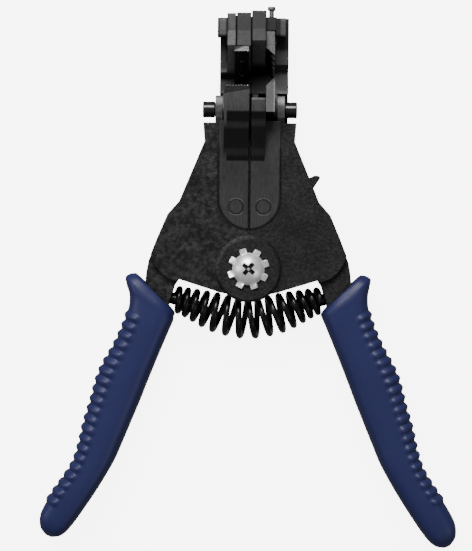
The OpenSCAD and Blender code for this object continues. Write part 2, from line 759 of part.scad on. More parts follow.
pad_root = 0.8;
pad_root_z = mouth_z + pad_root;
low_pad_z = [pad_root_z, block_top_z];
up_pad_z = [pad_root_z, 30.6];
low_screw_z = [15.8, 20.4];
up_screw_z = [18.5, 26];
pad_screw_l = 4;
pad_screw_sink = tooth_d + slide;
module pad_screws_low(r) {
    mid_x = (low_pad_x[0] + low_pad_x[1]) / 2;
    for (z = low_screw_z) translate([mid_x, pin_y + grip_line - pad_screw_sink, z])
        rotate([90, 0, 0]) cylinder(r = r, h = pad_screw_l);
}
module pad_screws_up(r) {
    mid_x = (up_pad_x[0] + up_pad_x[1]) / 2;
    for (z = up_screw_z) translate([mid_x, pin_y + grip_line + pad_screw_sink, z])
        rotate([-90, 0, 0]) cylinder(r = r, h = pad_screw_l);
}

module lower_grip_pad() {
    color([0.62, 0.62, 0.64]) difference() {
        pad(low_pad_x, pin_y + grip_line, pin_y + grip_line - low_pad_t, low_pad_z[0], low_pad_z[1]);
        translate([0, over, 0]) pad_screws_low(small_screw_r);
    }
}
module upper_grip_pad() {
    color([0.62, 0.62, 0.64]) at_rest() difference() {
        pad(up_pad_x, pin_y + grip_line, pin_y + grip_roof, up_pad_z[0], up_pad_z[1]);
        translate([0, -over, 0]) pad_screws_up(small_screw_r);
    }
}
module grip_pad_screws_lower() { color([0.5, 0.5, 0.5]) pad_screws_low(small_screw_r); }
module grip_pad_screws_upper() { color([0.5, 0.5, 0.5]) at_rest() pad_screws_up(small_screw_r); }

// Blade plates: a bevel on the left flank brings the edge to the right face
low_screw_at = [[52.2, 20], [53.4, 15.6]];
up_screw_at = [[66.5, 23.5], [65.5, 18.8]];
blade_screw_l = 2.6;
screw_head_t = 0.3;
screw_head_r = 1.7;
module blade_screw_set(at, x0) {
    for (p = at) translate([x0, p[0], p[1]]) rotate([0, 90, 0])
        cylinder(r = small_screw_r, h = blade_x[1] - x0);
}
module blade_screws(at) {
    blade_screw_set(at, blade_x[0] - blade_screw_l);
    for (p = at) translate([blade_x[1], p[0], p[1]]) rotate([0, 90, 0])
        cylinder(r = screw_head_r, h = screw_head_t);
}

notch_gap = 0.5;
notch_root = 1.6;
notch_z0 = mouth_z + notch_root;
function notch_z(i) = notch_z0 + (i == 0 ? 0 : notch_z(i - 1) - notch_z0 + notch_d[i - 1] / 2 + notch_gap)
    + notch_d[i] / 2;
edge_flat = 0.2;
module blade_edge(dir) {
    edge_y = pin_y + blade_line;
    for (i = [0 : len(notch_d) - 1])
        translate([blade_x[0] - over, edge_y, notch_z(i)]) rotate([0, 90, 0])
            cylinder(d = notch_d[i], h = blade_t + 2 * over, $fn = 32);
    bevel = blade_t - edge_flat;
    translate([0, 0, pin_z]) linear_extrude(2 * blade_tip_z)
        polygon([[blade_x[1] - edge_flat, edge_y], [blade_x[0] - over, edge_y + dir * (bevel + over)],
                 [blade_x[0] - over, edge_y - dir * over], [blade_x[1] - edge_flat, edge_y - dir * over]]);
}
edge_gap = 0.04;
low_blade_foot_z = [15, 24.6];
module lower_blade() {
    color([0.5, 0.5, 0.5]) difference() {
        translate([0, -edge_gap, 0]) slab(blade_x)
            polygon([[pin_y + blade_line, blade_root_z], [pin_y + blade_line, blade_tip_z],
                     [block_foot[0], low_blade_foot_z[1]], [holder_foot[0], low_blade_foot_z[0]],
                     [pin_y + join, blade_root_z]]);
        translate([0, -edge_gap, 0]) blade_edge(-1);
        blade_screw_set(low_screw_at, blade_x[0] - over);
    }
}
module upper_blade() {
    color([0.5, 0.5, 0.5]) at_rest() difference() {
        slab(blade_x) upper_blade_outline();
        blade_edge(1);
        blade_screw_set(up_screw_at, blade_x[0] - over);
    }
}
module lower_blade_screws() { color([0.4, 0.4, 0.4]) blade_screws(low_screw_at); }
module upper_blade_screws() { color([0.4, 0.4, 0.4]) at_rest() blade_screws(up_screw_at); }

// Mushroom-headed screw that clamps the upper blade from above
module blade_stop_screw() {
    color([0.45, 0.45, 0.45]) translate([post_x, post_top, post_z]) rotate([90, 0, 0]) {
        cylinder(r = 1.6 * post_r, h = post_cap_h);
        cylinder(r = post_r, h = post_l);
    }
}

// Jaw pin with its round head outside the frame's ear
module jaw_pin() {
    pin_bar(pin_r, [hub_in_u[0], ear_u[1] + head_gap]);
    pin_bar(pin_head_r, [ear_u[1] + head_gap, ear_u[1] + head_gap + pin_head_l]);
}
module left_jaw_pin() { color([0.12, 0.12, 0.12]) half(-1) jaw_pin(); }
module right_jaw_pin() { color([0.12, 0.12, 0.12]) half(1) jaw_pin(); }

// Rivets that hold the front bars' lower ends
module rivet(i) {
    translate([rivet_u[i], rivet_y, 0]) {
        cylinder(r = rivet_stem_r, h = frame_t);
        translate([0, 0, bar_z - slide]) cylinder(r = rivet_r, h = bar_t + slide + run);
    }
}
module left_bar_rivet() { color([0.25, 0.25, 0.25]) half(-1) rivet(0); }
module right_bar_rivet() { color([0.25, 0.25, 0.25]) half(1) rivet(1); }

// Round wire through points p: ring i lies across the path, with r[i] as one of its axes
function unit(v) = v / norm(v);
function wire_rings(p, radial, d, n) = [for (i = [0 : len(p) - 1]) let (
    a = p[max(i - 1, 0)], b = p[min(i + 1, len(p) - 1)],
    side = unit(cross(unit(b - a), radial[i])))
    [for (k = [0 : n - 1]) p[i] + d / 2 * (cos(360 * k / n) * radial[i] + sin(360 * k / n) * side)]];

// Small coil spring round a jaw pin
jaw_wire_d = 0.5;
jaw_coil_r = 2.9;
jaw_turns = 3;
curl_rings = 8;
wire_sides = 6;
module jaw_spring() {
    steps = jaw_turns * curl_rings;
    run_l = coil_u[1] - coil_u[0] - jaw_wire_d - 2 * slide;
    turn = [for (i = [0 : steps]) let (a = 360 * i / curl_rings) [0, cos(a), sin(a)]];
    p = [for (i = [0 : steps]) [coil_u[0] + slide + jaw_wire_d / 2 + run_l * i / steps, pin_y, pin_z]
        + jaw_coil_r * turn[i]];
    skin(wire_rings(p, turn, jaw_wire_d, wire_sides), wire_sides);
}
module left_jaw_spring() { color([0.3, 0.3, 0.3]) half(-1) jaw_spring(); }
module right_jaw_spring() { color([0.3, 0.3, 0.3]) half(1) jaw_spring(); }

// Seat of the handle spring: a post in the tang, inside the coil
module spring_seat() {
    seat_place() {
        translate([0, 0, -seat_deep]) cylinder(r = seat_stem_r, h = seat_deep + join);
        cylinder(r = seat_post_r, h = seat_post_l);
    }
}
module left_spring_seat() { color([0.15, 0.15, 0.15]) half(-1) spring_seat(); }
module right_spring_seat() { color([0.15, 0.15, 0.15]) half(1) spring_seat(); }

// Centre line of the handle spring from the left seat, t = 0, to the right one, t = 1
spring_drop = spring_mid_y + seat_at[1];
spring_lean_share = 0.7;
spring_slope = spring_lean_share * seat_dir[1] / seat_dir[0] * seat_at[0];
function spring_line(t) = let (s = 2 * t - 1, h = 1 - abs(s))
    [s * seat_at[0], seat_at[1] - spring_drop * (3 - 2 * h) * h * h
        - spring_slope * (h * h * h - 2 * h * h + h), frame_t / 2];
function spring_way(t) = unit(spring_line(t + 0.001) - spring_line(t - 0.001));
function spring_radial(t, a) = let (w = spring_way(t)) cos(a) * [-w[1], w[0], 0] + sin(a) * [0, 0, 1];

// The coil swells up to this share of its half length, and its end turns lie closer
swell_share = 0.66;
closer_share = 0.25;
spring_start = 0.028;
start_deg = -90;
spring_steps = (turns + 0.5) * curl_rings;
function spring_t(i) = let (u = i / spring_steps)
    spring_start + (1 - 2 * spring_start) * (u - closer_share * sin(360 * u) / (2 * PI));
function spring_r(t) = let (u = min(1, (1 - abs(2 * t - 1)) / swell_share))
    coil_end_r + (coil_mid_r - coil_end_r) * u * u * (3 - 2 * u);
spring_turn = [for (i = [0 : spring_steps]) spring_radial(spring_t(i), start_deg + 360 * i / curl_rings)];
spring_path = [for (i = [0 : spring_steps]) let (t = spring_t(i))
    spring_line(t) + (spring_r(t) - wire_d / 2) * spring_turn[i]];
spring_gap = min([for (i = [0 : spring_steps - curl_rings]) for (j = [-2 : 2])
    let (k = i + curl_rings + j) if (k <= spring_steps) norm(spring_path[k] - spring_path[i])]) - wire_d;
echo(spring_gap = spring_gap);
module handle_spring() {
    color([0.08, 0.08, 0.08]) skin(wire_rings(spring_path, spring_turn, wire_d, wire_sides), wire_sides);
}

left_frame();
right_frame();
left_grip();
right_grip();
pivot_sleeve();
pivot_screw();
star_washer();
pivot_nut();
jaw_cam();
left_lower_jaw();
right_lower_jaw();
left_upper_jaw();
right_upper_jaw();
left_jaw_pin();
right_jaw_pin();
left_jaw_spring();
right_jaw_spring();
left_bar_rivet();
right_bar_rivet();
lower_grip_pad();
upper_grip_pad();
grip_pad_screws_lower();
grip_pad_screws_upper();
lower_blade();
upper_blade();
lower_blade_screws();
upper_blade_screws();
blade_stop_screw();
left_spring_seat();
right_spring_seat();
handle_spring();
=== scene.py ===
# %% [markdown]
# # Automatic wire stripper
# The tool lies on its back: +Y points to the jaws, +Z to the camera, and the
# main pivot stands at the origin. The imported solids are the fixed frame, and
# every piece below is placed by them.

# %% Load the frame
import math

import bmesh
import bpy
from mathutils import Matrix, Vector


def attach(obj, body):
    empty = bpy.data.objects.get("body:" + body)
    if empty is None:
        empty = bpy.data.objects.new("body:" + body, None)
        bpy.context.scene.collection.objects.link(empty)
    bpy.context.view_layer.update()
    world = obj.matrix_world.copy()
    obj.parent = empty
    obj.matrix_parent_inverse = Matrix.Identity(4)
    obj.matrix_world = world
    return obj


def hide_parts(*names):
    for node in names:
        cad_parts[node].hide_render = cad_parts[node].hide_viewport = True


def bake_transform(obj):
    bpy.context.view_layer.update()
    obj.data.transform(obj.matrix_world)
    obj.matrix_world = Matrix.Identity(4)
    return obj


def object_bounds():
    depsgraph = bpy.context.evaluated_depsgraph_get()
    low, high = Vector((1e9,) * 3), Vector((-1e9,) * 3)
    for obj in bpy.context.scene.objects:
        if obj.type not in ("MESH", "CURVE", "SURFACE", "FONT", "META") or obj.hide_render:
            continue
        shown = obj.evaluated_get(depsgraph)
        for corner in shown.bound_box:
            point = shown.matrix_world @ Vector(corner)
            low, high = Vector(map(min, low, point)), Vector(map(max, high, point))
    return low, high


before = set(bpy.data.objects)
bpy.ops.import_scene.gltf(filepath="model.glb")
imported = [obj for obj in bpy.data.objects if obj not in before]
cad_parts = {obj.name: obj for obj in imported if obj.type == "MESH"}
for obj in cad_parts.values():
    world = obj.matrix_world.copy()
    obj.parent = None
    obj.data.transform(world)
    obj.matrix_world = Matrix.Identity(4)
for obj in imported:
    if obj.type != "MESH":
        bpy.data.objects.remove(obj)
CAD_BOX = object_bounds()
MM = 0.001
print("frame box", [tuple(round(c, 4) for c in corner) for corner in CAD_BOX])

# %% [markdown]
# ## Camera
# The photo looks straight down on the tool. It has 472 x 551 pixels, and one
# pixel is 0.325 mm at the height of the jaw pins, so a long lens 700 mm away
# with that field gives the same picture with a little perspective. The tool was
# put down very slightly turned, so the camera turns by as much.

# %% Camera
PHOTO_W, PHOTO_H = 472, 551
MM_PER_PIXEL = 0.325
PIVOT_PIXEL = (248.3, 269.0)
PHOTO_TURN = math.radians(0.6)
REFERENCE_Z = 8.5
CAMERA_DISTANCE = 700.0
SENSOR = 36.0


def from_pixel(px, py):
    """Place in millimetres, at the reference height, of a pixel of the photo."""
    flat = Vector(((px - PIVOT_PIXEL[0]) * MM_PER_PIXEL, (PIVOT_PIXEL[1] - py) * MM_PER_PIXEL, 0))
    return flat @ Matrix.Rotation(-PHOTO_TURN, 3, "Z")


def make_camera():
    middle = from_pixel(PHOTO_W / 2, PHOTO_H / 2)
    data = bpy.data.cameras.new("camera")
    data.sensor_fit = "AUTO"
    data.sensor_width = SENSOR
    data.lens = SENSOR * CAMERA_DISTANCE / (PHOTO_H * MM_PER_PIXEL)
    data.clip_start, data.clip_end = 0.01, 10
    camera = bpy.data.objects.new("camera", data)
    camera.location = (middle.x * MM, middle.y * MM, (REFERENCE_Z + CAMERA_DISTANCE) * MM)
    camera.rotation_euler = (0, 0, PHOTO_TURN)
    bpy.context.scene.collection.objects.link(camera)
    bpy.context.scene.camera = camera
    return camera


camera = make_camera()
print("camera over", [round(v, 4) for v in camera.location], "lens", round(camera.data.lens, 1))

# %% [markdown]
# ## Floor and light
# A studio photo of a black tool on white: a pale floor that glows until it is
# nearly white, one large soft light beyond the jaws that draws the bevels and
# the crests of the castings, and weak fill from the sides. The surround is dim,
# because a bright one turns black enamel grey, and the floor's glow is hidden
# from the reflections for the same reason.

# %% Floor, surround and lights
FLOOR_SIZE = 8.0
FLOOR_GAP = 0.8
FLOOR_GLOW = 7.0
SURROUND_LEVEL = 0.22
LIGHTS = (("key_light", (-0.12, 0.58, 0.6), (0.5, 0.3), 9.0),
          ("side_light", (-0.75, 0.05, 0.45), (0.3, 0.5), 1.5),
          ("low_light", (0.6, -0.35, 0.6), (0.35, 0.35), 1.0))


def flat_material(name, colour, roughness, glow):
    material = bpy.data.materials.new(name)
    material.use_nodes = True
    shader = material.node_tree.nodes["Principled BSDF"]
    shader.inputs["Base Color"].default_value = (*colour, 1)
    shader.inputs["Roughness"].default_value = roughness
    shader.inputs["Emission Color"].default_value = (*colour, 1)
    shader.inputs["Emission Strength"].default_value = glow
    return material


def make_floor():
    mesh = bpy.data.meshes.new("floor")
    half = FLOOR_SIZE / 2
    z = CAD_BOX[0][2] - FLOOR_GAP * MM
    corners = [(-half, -half, z), (half, -half, z), (half, half, z), (-half, half, z)]
    mesh.from_pydata(corners, [], [(0, 1, 2, 3)])
    floor = bpy.data.objects.new("floor", mesh)
    floor.data.materials.append(flat_material("floor_white", (0.9, 0.9, 0.9), 0.7, FLOOR_GLOW))
    floor.visible_glossy = False
    floor.visible_diffuse = False
    bpy.context.scene.collection.objects.link(floor)


def area_light(name, at, size, watts):
    """A soft rectangular light that points at the main pivot."""
    light = bpy.data.lights.new(name, "AREA")
    light.shape = "RECTANGLE"
    light.size, light.size_y = size
    light.energy = watts
    lamp = bpy.data.objects.new(name, light)
    lamp.location = at
    lamp.rotation_euler = (-Vector(at)).to_track_quat("-Z", "Y").to_euler()
    bpy.context.scene.collection.objects.link(lamp)


def make_surround(strength):
    world = bpy.data.worlds.new("surround")
    world.use_nodes = True
    background = world.node_tree.nodes["Background"]
    background.inputs["Color"].default_value = (1, 1, 1, 1)
    background.inputs["Strength"].default_value = strength
    bpy.context.scene.world = world


make_floor()
make_surround(SURROUND_LEVEL)
for light in LIGHTS:
    area_light(*light)
print("floor, surround and", len(LIGHTS), "lights")

# %% [markdown]
# ## Node helpers
# Materials and Geometry Nodes are both node trees. A small class wraps a socket,
# so that the maths of a mask reads as a formula, and one method makes any other
# node. Finish holds a material, and Recipe holds a Geometry Nodes tree.

# %% Node helpers
PLACE, DIRECTION = 3, 1
MIX_MASK, MIX_FIRST, MIX_SECOND, MIX_COLOUR = 0, 6, 7, 2


class Wire:
    """An output socket that can be added, subtracted and scaled like a number."""

    def __init__(self, sheet, socket):
        self.sheet, self.socket = sheet, socket

    def math(self, operation, *values, clamp=False):
        settings = {"operation": operation, "use_clamp": clamp}
        return self.sheet.node("ShaderNodeMath", settings, dict(enumerate(values)))

    def __add__(self, other):
        return self.math("ADD", self, other)

    def __radd__(self, other):
        return self.math("ADD", other, self)

    def __sub__(self, other):
        return self.math("SUBTRACT", self, other)

    def __rsub__(self, other):
        return self.math("SUBTRACT", other, self)

    def __mul__(self, other):
        return self.math("MULTIPLY", self, other)

    def __rmul__(self, other):
        return self.math("MULTIPLY", other, self)

    def __truediv__(self, other):
        return self.math("DIVIDE", self, other)

    def __pow__(self, other):
        return self.math("POWER", self, other)

    def clamped(self):
        return self.math("ADD", self, 0.0, clamp=True)

    def of(self, operation):
        """A function of this socket alone, such as its cosine."""
        return self.math(operation, self)

    def window(self, low, high):
        """Rises from 0 at low to 1 at high; low may be the larger one."""
        return ((self - low) / (high - low)).clamped()


class Sheet:
    """A node tree whose nodes are added by one method."""

    def __init__(self, tree):
        self.tree = tree

    def node(self, kind, settings=None, values=None, out=0):
        """Adds a node: settings first, then its sockets' values or links. Returns one output."""
        made = self.tree.nodes.new(kind)
        for key, value in (settings or {}).items():
            if key == "stops":
                while len(made.color_ramp.elements) < len(value):
                    made.color_ramp.elements.new(0.5)
                for element, (at, level) in zip(made.color_ramp.elements, value):
                    element.position = at
                    element.color = (level, level, level, 1)
            else:
                setattr(made, key, value)
        for key, value in (values or {}).items():
            self.plug(made.inputs[key], value)
        return Wire(self, made.outputs[out])

    def plug(self, socket, value):
        if isinstance(value, Wire):
            self.tree.links.new(value.socket, socket)
        elif socket.type == "RGBA":
            socket.default_value = (*value, 1)
        else:
            socket.default_value = value


class Finish(Sheet):
    """A material with a Principled shader, whose patterns lie in object coordinates."""

    def __init__(self, name, metallic=0.0, specular=0.5):
        self.material = bpy.data.materials.new(name)
        self.material.use_nodes = True
        super().__init__(self.material.node_tree)
        self.shader = self.tree.nodes["Principled BSDF"]
        self.shader.inputs["Metallic"].default_value = metallic
        self.shader.inputs["Specular IOR Level"].default_value = specular

    def set(self, **values):
        for key, value in values.items():
            self.plug(self.shader.inputs[key.replace("_", " ")], value)

    def place(self, scale=(1, 1, 1)):
        """Object coordinates in millimetres, stretched by scale."""
        coords = self.node("ShaderNodeTexCoord", out=PLACE)
        return self.node("ShaderNodeMapping", {}, {"Vector": coords,
                                                   "Scale": tuple(s / MM for s in scale)})

    def axis(self, kind, index):
        """One coordinate, 0 to 2, of the place in metres or of the surface's direction."""
        coords = self.node("ShaderNodeTexCoord", out=kind)
        return self.node("ShaderNodeSeparateXYZ", {}, {0: coords}, index)

    def spot(self):
        """The place in millimetres as three numbers."""
        return [self.axis(PLACE, index) / MM for index in range(3)]

    def towards(self):
        """The surface's direction as three numbers."""
        return [self.axis(DIRECTION, index) for index in range(3)]

    def gained(self, colour, *gains):
        """A colour times every gain where its mask is 1."""
        for mask, gain in gains:
            factor = mask * (gain - 1) + 1
            colour = self.blend(1.0, colour, factor, "MULTIPLY")
        return colour

    def noise(self, where, scale, detail=3.0, roughness=0.55):
        return self.node("ShaderNodeTexNoise", {}, {"Vector": where, "Scale": scale,
                                                    "Detail": detail, "Roughness": roughness})

    def steps(self, value, stops):
        """A number from 0 to 1 that follows value through stops of (place, level)."""
        return self.node("ShaderNodeValToRGB", {"stops": stops}, {0: value})

    def blend(self, mask, first, second, how="MIX"):
        """Mixes two colours by a mask from 0 to 1."""
        return self.node("ShaderNodeMix", {"data_type": "RGBA", "blend_type": how},
                         {MIX_MASK: mask, MIX_FIRST: first, MIX_SECOND: second}, MIX_COLOUR)

    def bump(self, height, strength, depth_mm):
        return self.node("ShaderNodeBump", {}, {"Height": height, "Strength": strength,
                                                "Distance": depth_mm * MM})


class Recipe(Sheet):
    """A Geometry Nodes tree with named inputs, which ends as real mesh with a material."""

    def __init__(self, name, sizes):
        super().__init__(bpy.data.node_groups.new(name, "GeometryNodeTree"))
        sockets = self.tree.interface
        sockets.new_socket("Geometry", in_out="INPUT", socket_type="NodeSocketGeometry")
        sockets.new_socket("Geometry", in_out="OUTPUT", socket_type="NodeSocketGeometry")
        self.keys = {}
        for label, value in sizes.items():
            kind = "NodeSocketInt" if isinstance(value, int) else "NodeSocketFloat"
            made = sockets.new_socket(label, in_out="INPUT", socket_type=kind)
            made.default_value = value
            self.keys[label] = made.identifier
        made = sockets.new_socket("Material", in_out="INPUT", socket_type="NodeSocketMaterial")
        self.keys["Material"] = made.identifier
        self.inputs = self.tree.nodes.new("NodeGroupInput")

    def size(self, label):
        return Wire(self, self.inputs.outputs[label])

    def attribute(self, label):
        return self.node("GeometryNodeInputNamedAttribute", {"data_type": "FLOAT"}, {"Name": label})

    def end(self, geometry):
        real = self.node("GeometryNodeRealizeInstances", {}, {0: geometry})
        smooth = self.node("GeometryNodeSetShadeSmooth", {}, {0: real})
        painted = self.node("GeometryNodeSetMaterial", {},
                            {"Geometry": smooth, "Material": self.size("Material")})
        last = self.tree.nodes.new("NodeGroupOutput")
        self.plug(last.inputs[0], painted)

    def run_on(self, piece, material, **sizes):
        """Adds the recipe to a piece with these sizes, and bakes it to a plain mesh."""
        modifier = piece.modifiers.new(self.tree.name, "NODES")
        modifier.node_group = self.tree
        modifier[self.keys["Material"]] = material
        for label, value in sizes.items():
            modifier[self.keys[label.replace("_", " ")]] = value
        bake_modifiers(piece)
        piece.data.materials.clear()
        piece.data.materials.append(material)
        return piece


def bake_modifiers(piece):
    """Turns a piece's modifiers into its plain mesh."""
    bpy.context.view_layer.update()
    graph = bpy.context.evaluated_depsgraph_get()
    mesh = bpy.data.meshes.new_from_object(piece.evaluated_get(graph), depsgraph=graph)
    piece.modifiers.clear()
    piece.data = mesh
    return piece


print("node helpers ready")

# %% [markdown]
# ## Cast black enamel
# Both halves are iron castings under a thin coat of black enamel. Sand leaves a
# pebbled skin: coarse and mottled on the left half, finer on the right one. Two
# noises of different size drive the bump, and the enamel is a little shinier on
# the crests, where hands rub it. A picture texture would be quicker to set up,
# but noise in object coordinates needs no unwrapping and stays sharp up close.

# %% Cast black enamel
BARS_ROUND_Y, BARS_HALF_WIDTH = 22.7, 9.9


def grey(level, warmth=0.0):
    """A nearly neutral colour: warmth lifts red and lowers blue by that share."""
    return (level * (1 + warmth), level, level * (1 - warmth))


def beside_bars(x, y):
    """How far a place lies outside the outline of the two front bars, in millimetres."""
    below = (y - BARS_ROUND_Y).math("MINIMUM", y - BARS_ROUND_Y, 0.0)
    return (x * x + below * below).of("SQRT") - BARS_HALF_WIDTH


def cast_enamel(name, pebble_mm, depth_mm, crest, valley):
    """Black enamel over a casting whose sand marks are pebble_mm across and depth_mm deep."""
    sheet = Finish(name, specular=0.2)
    where = sheet.place()
    pebbles = sheet.noise(where, 1 / pebble_mm, 4, 0.6)
    patches = sheet.noise(where, 0.12, 2)
    specks = sheet.noise(where, 3.2 / pebble_mm, 2)
    worn = sheet.steps(pebbles * 0.7 + patches * 0.3, [(0.42, 0), (0.64, 1)])
    x, y, _ = sheet.spot()
    _, up, front = sheet.towards()
    radius = (x * x + y * y).of("SQRT")
    # Painted highlight: the upper left part of the ring round the pivot boss is made lighter.
    boss_rim_highlight = radius.window(9.3, 9.8) * radius.window(11.1, 10.7) * (y - x).window(4, 11)
    ear = y.window(48.6, 49.0)
    gap = beside_bars(x, y)
    # Painted shadow: a dark line on the casting just outside the outline of the front bars, which stand
    # proud of it.
    shadow_beside_bars = gap.window(-0.3, 0) * gap.window(0.65, 0.5) * y.window(40, 38)
    enamel = sheet.blend(worn, grey(valley), grey(crest))
    # The ears by the jaw pins are partly bare metal, a lighter grey; their fronts and tops get a painted
    # highlight, and the left ear gets painted shade.
    colour = sheet.gained(sheet.blend(ear * 0.75, enamel, grey(0.017)), (boss_rim_highlight, 2.6),
                          (shadow_beside_bars, 0.15), (ear * front.window(0.2, 0.8), 4.8),
                          (ear * up.window(0.2, 0.6), 4.0), (ear * y.window(50.5, 51.5), 1.5),
                          (ear * x.window(0, -1), 0.6))
    sheet.set(Base_Color=colour,
              Roughness=0.62 - worn * 0.16,
              Normal=sheet.bump(pebbles + specks * 0.35, 0.9, depth_mm))
    return sheet.material


LEFT_CASTING = cast_enamel("cast_black_coarse", 1.5, 0.42, 0.03, 0.003)
RIGHT_CASTING = cast_enamel("cast_black_fine", 0.9, 0.28, 0.022, 0.005)
print("castings:", LEFT_CASTING.name, RIGHT_CASTING.name)

# %% [markdown]
# ## Black steel
# The jaws, bars and pins are hardened steel, blackened in hot oil. The bars stay
# dark, but the fronts of the jaw blocks and fingers were ground after that and
# are bare again, so height and the surface's direction decide where the steel is
# light; the black below those heights is also painted shade in the throat and the
# recesses. Long thin noise, stretched along one axis, gives the marks of grinding.
# Painted highlights and painted shade at edges, gaps, bevels and rivets would be
# painted by hand in a picture. Here each one is a window between two values along
# an axis, and has a gain.

# %% Black steel
JAW_JOINTS = (-7.7, -4.65, 0.25, 5.0)
RIVETS = ((-4.2, 20.0), (4.6, 20.0))


def front_mask(sheet, low_mm, high_mm):
    """Rises from 0 to 1 between two heights, on faces that look to the front."""
    height = sheet.axis(PLACE, 2) / MM
    return height.window(low_mm, high_mm) * sheet.axis(DIRECTION, 2).window(0.3, 0.5)


def black_steel(name, dark, rough, grain=(1, 0.15, 1), fronts=(), lights=None, metallic=0.35,
                specular=0.35):
    """Blackened steel; each of fronts is (low, high, level): the grey it has above that height."""
    sheet = Finish(name, metallic=metallic, specular=specular)
    lines = sheet.noise(sheet.place(grain), 2.2, 4, 0.65)
    clouds = sheet.noise(sheet.place(), 0.5, 3)
    colour = grey(dark, 0.02)
    for low_mm, high_mm, level in fronts:
        colour = sheet.blend(front_mask(sheet, low_mm, high_mm), colour, grey(level, 0.01))
    shade = (lines * 0.65 + clouds * 0.35) * 1.6 + 0.2
    colour = sheet.blend(1.0, colour, shade, "MULTIPLY")
    # lights gives painted highlights and painted shade, each a mask with a gain.
    if lights:
        colour = sheet.gained(colour, *lights(*sheet.spot(), *sheet.towards()))
    sheet.set(Base_Color=colour,
              Roughness=rough + lines * 0.2 - clouds * 0.1,
              Normal=sheet.bump(lines, 0.3, 0.05))
    return sheet.material


def bar_painted_light(x, y, z, *_):
    """Painted highlights and painted shade on the bars and their blocks, each with its gain."""
    block, left, right = z.window(16, 17), x.window(0.1, -0.1), x.window(-0.1, 0.1)
    # Painted shade: a diagonal dark band across the top of the left block; painted highlights along the
    # blocks' top edges.
    painted_diagonal_shade = (y - x * 0.17).window(57.2, 57.4) * y.window(58.8, 58.6)
    left_top_highlight, right_top_highlight = y.window(58.7, 58.9), y.window(53.9, 54.1)
    # Painted shadow on the slope under the blocks, painted shade along the bars' rims and in the seam
    # between them.
    shadowed_slope = y.window(34.6, 34.9) * y.window(50.7, 50.0) * x.window(-7.6, -7.4) * x.window(4.9, 4.75)
    bar_rim_shade = beside_bars(x, y).window(-0.45, -0.3) * y.window(40, 38)
    bar_seam_shade = x.of("ABSOLUTE").window(0.5, 0.35) * y.window(52, 50)
    gains = [(block * left * painted_diagonal_shade, 0.35), (block * left * left_top_highlight, 2.0),
             (block * right * right_top_highlight, 2.2), (shadowed_slope, 0.95), (shadowed_slope * z.window(17.2, 16.3), 0.12),
             (shadowed_slope * z.window(20.2, 21.2), 0.08), (bar_rim_shade, 0.4), (bar_seam_shade, 0.12)]
    for rivet_x, rivet_y in RIVETS:
        across, along = x - rivet_x, y - rivet_y
        away = (across * across + along * along).of("SQRT")
        # Painted shade in the gap round each rivet, and painted highlights on its arcs above and below.
        ring = away.window(2.05, 2.15) * away.window(2.55, 2.45)
        rivet_highlights = away.window(2.45, 2.55) * away.window(2.9, 2.75) * along.of("ABSOLUTE").window(1.2, 2)
        gains += [(ring, 0.3), (rivet_highlights, 2.2)]
    return gains


def jaw_painted_light(x, y, z, _, up, front):
    """Painted highlights and painted shade on the upper jaws, each with its gain."""
    fronts = z.window(9.5, 10.5) * front.window(0.2, 0.5)
    upper_bevel, bevel = up.window(0.4, 0.7) * fronts, up.window(-0.4, -0.7) * fronts
    bevel_highlight_line = bevel * (y - x.window(0.2, 0.3) * 0.6).window(76.4, 76.6)
    first_finger = x.window(-4.6, -4.8)
    right_cheek = x.window(7.9, 8.1) * y.window(71.5, 70.5) * y.window(54, 56)
    beside_ear = x.window(9.6, 9.3) * x.window(8.0, 8.1) * y.window(72, 73)
    right_ear = x.window(9.7, 10.1) * y.window(74.5, 75)
    above_blade = x.window(5.0, 5.2) * x.window(8.2, 8.0) * y.window(76.5, 77)
    left_ear_side = x.window(-9.9, -10.2) * y.window(73, 74)
    first_finger_top = x.window(-7.2, -7.4) * y.window(80.2, 80.5)
    behind_holder = x.window(0.2, 0.4) * x.window(5.1, 4.9) * y.window(67, 64)
    # Painted highlights on the bevels and along their top line; painted shade beside the ears, above the
    # blade, behind the holder and at the first finger's top; the first finger, the right cheek and the
    # right ear are lighter.
    gains = [(upper_bevel, 2.1), (bevel, 2.1), (bevel_highlight_line, 1.5), (first_finger, 1.9),
             (right_cheek, 4.6), (beside_ear, 0.25), (right_ear, 1.5), (above_blade, 0.6),
             (left_ear_side, 0.3), (first_finger_top, 0.35), (behind_holder, 0.3)]
    for joint in JAW_JOINTS:
        # Painted shade in the gap at each joint between the fingers.
        finger_gap_shade = (x - joint).of("ABSOLUTE").window(0.45, 0.2) * y.window(66, 67)
        gains.append((finger_gap_shade, 0.22))
    return gains


# Grey over height on the bars' front faces: the bar fronts, then painted shadow on the slope under the
# blocks, then the lighter block fronts.
BAR_FRONTS_AND_SLOPE_SHADOW = [(15.3, 15.9, 0.041), (16.1, 17.6, 0.006), (20.0, 21.4, 0.072)]
# The jaw steel stays black below these heights: partly its blackened finish, partly painted shade in the
# throat and the recesses.
JAW_FRONTS = [(9.8, 12.4, 0.042)]
BAR_STEEL = black_steel("bar_steel", 0.004, 0.42, fronts=BAR_FRONTS_AND_SLOPE_SHADOW, lights=bar_painted_light, specular=0.2)
JAW_STEEL = black_steel("jaw_steel", 0.008, 0.46, (0.25, 1, 1), JAW_FRONTS, jaw_painted_light)
PIN_STEEL = black_steel("pin_steel", 0.05, 0.16, (0.2, 1, 1), metallic=0.8)
SPRING_STEEL = black_steel("spring_steel", 0.006, 0.2, (1, 1, 1))
print("black steels ready")

# %% [markdown]
# ## Ground steel
# Blades and pads are tool steel: black from hardening, and ground bare on the
# faces that look to the front; the black of the other faces, down in the throat,
# is also painted shade. Crossed scratches and small bright pits vary the colour
# and the roughness, and each blade and pad gets painted highlights and shade.

# %% Ground steel


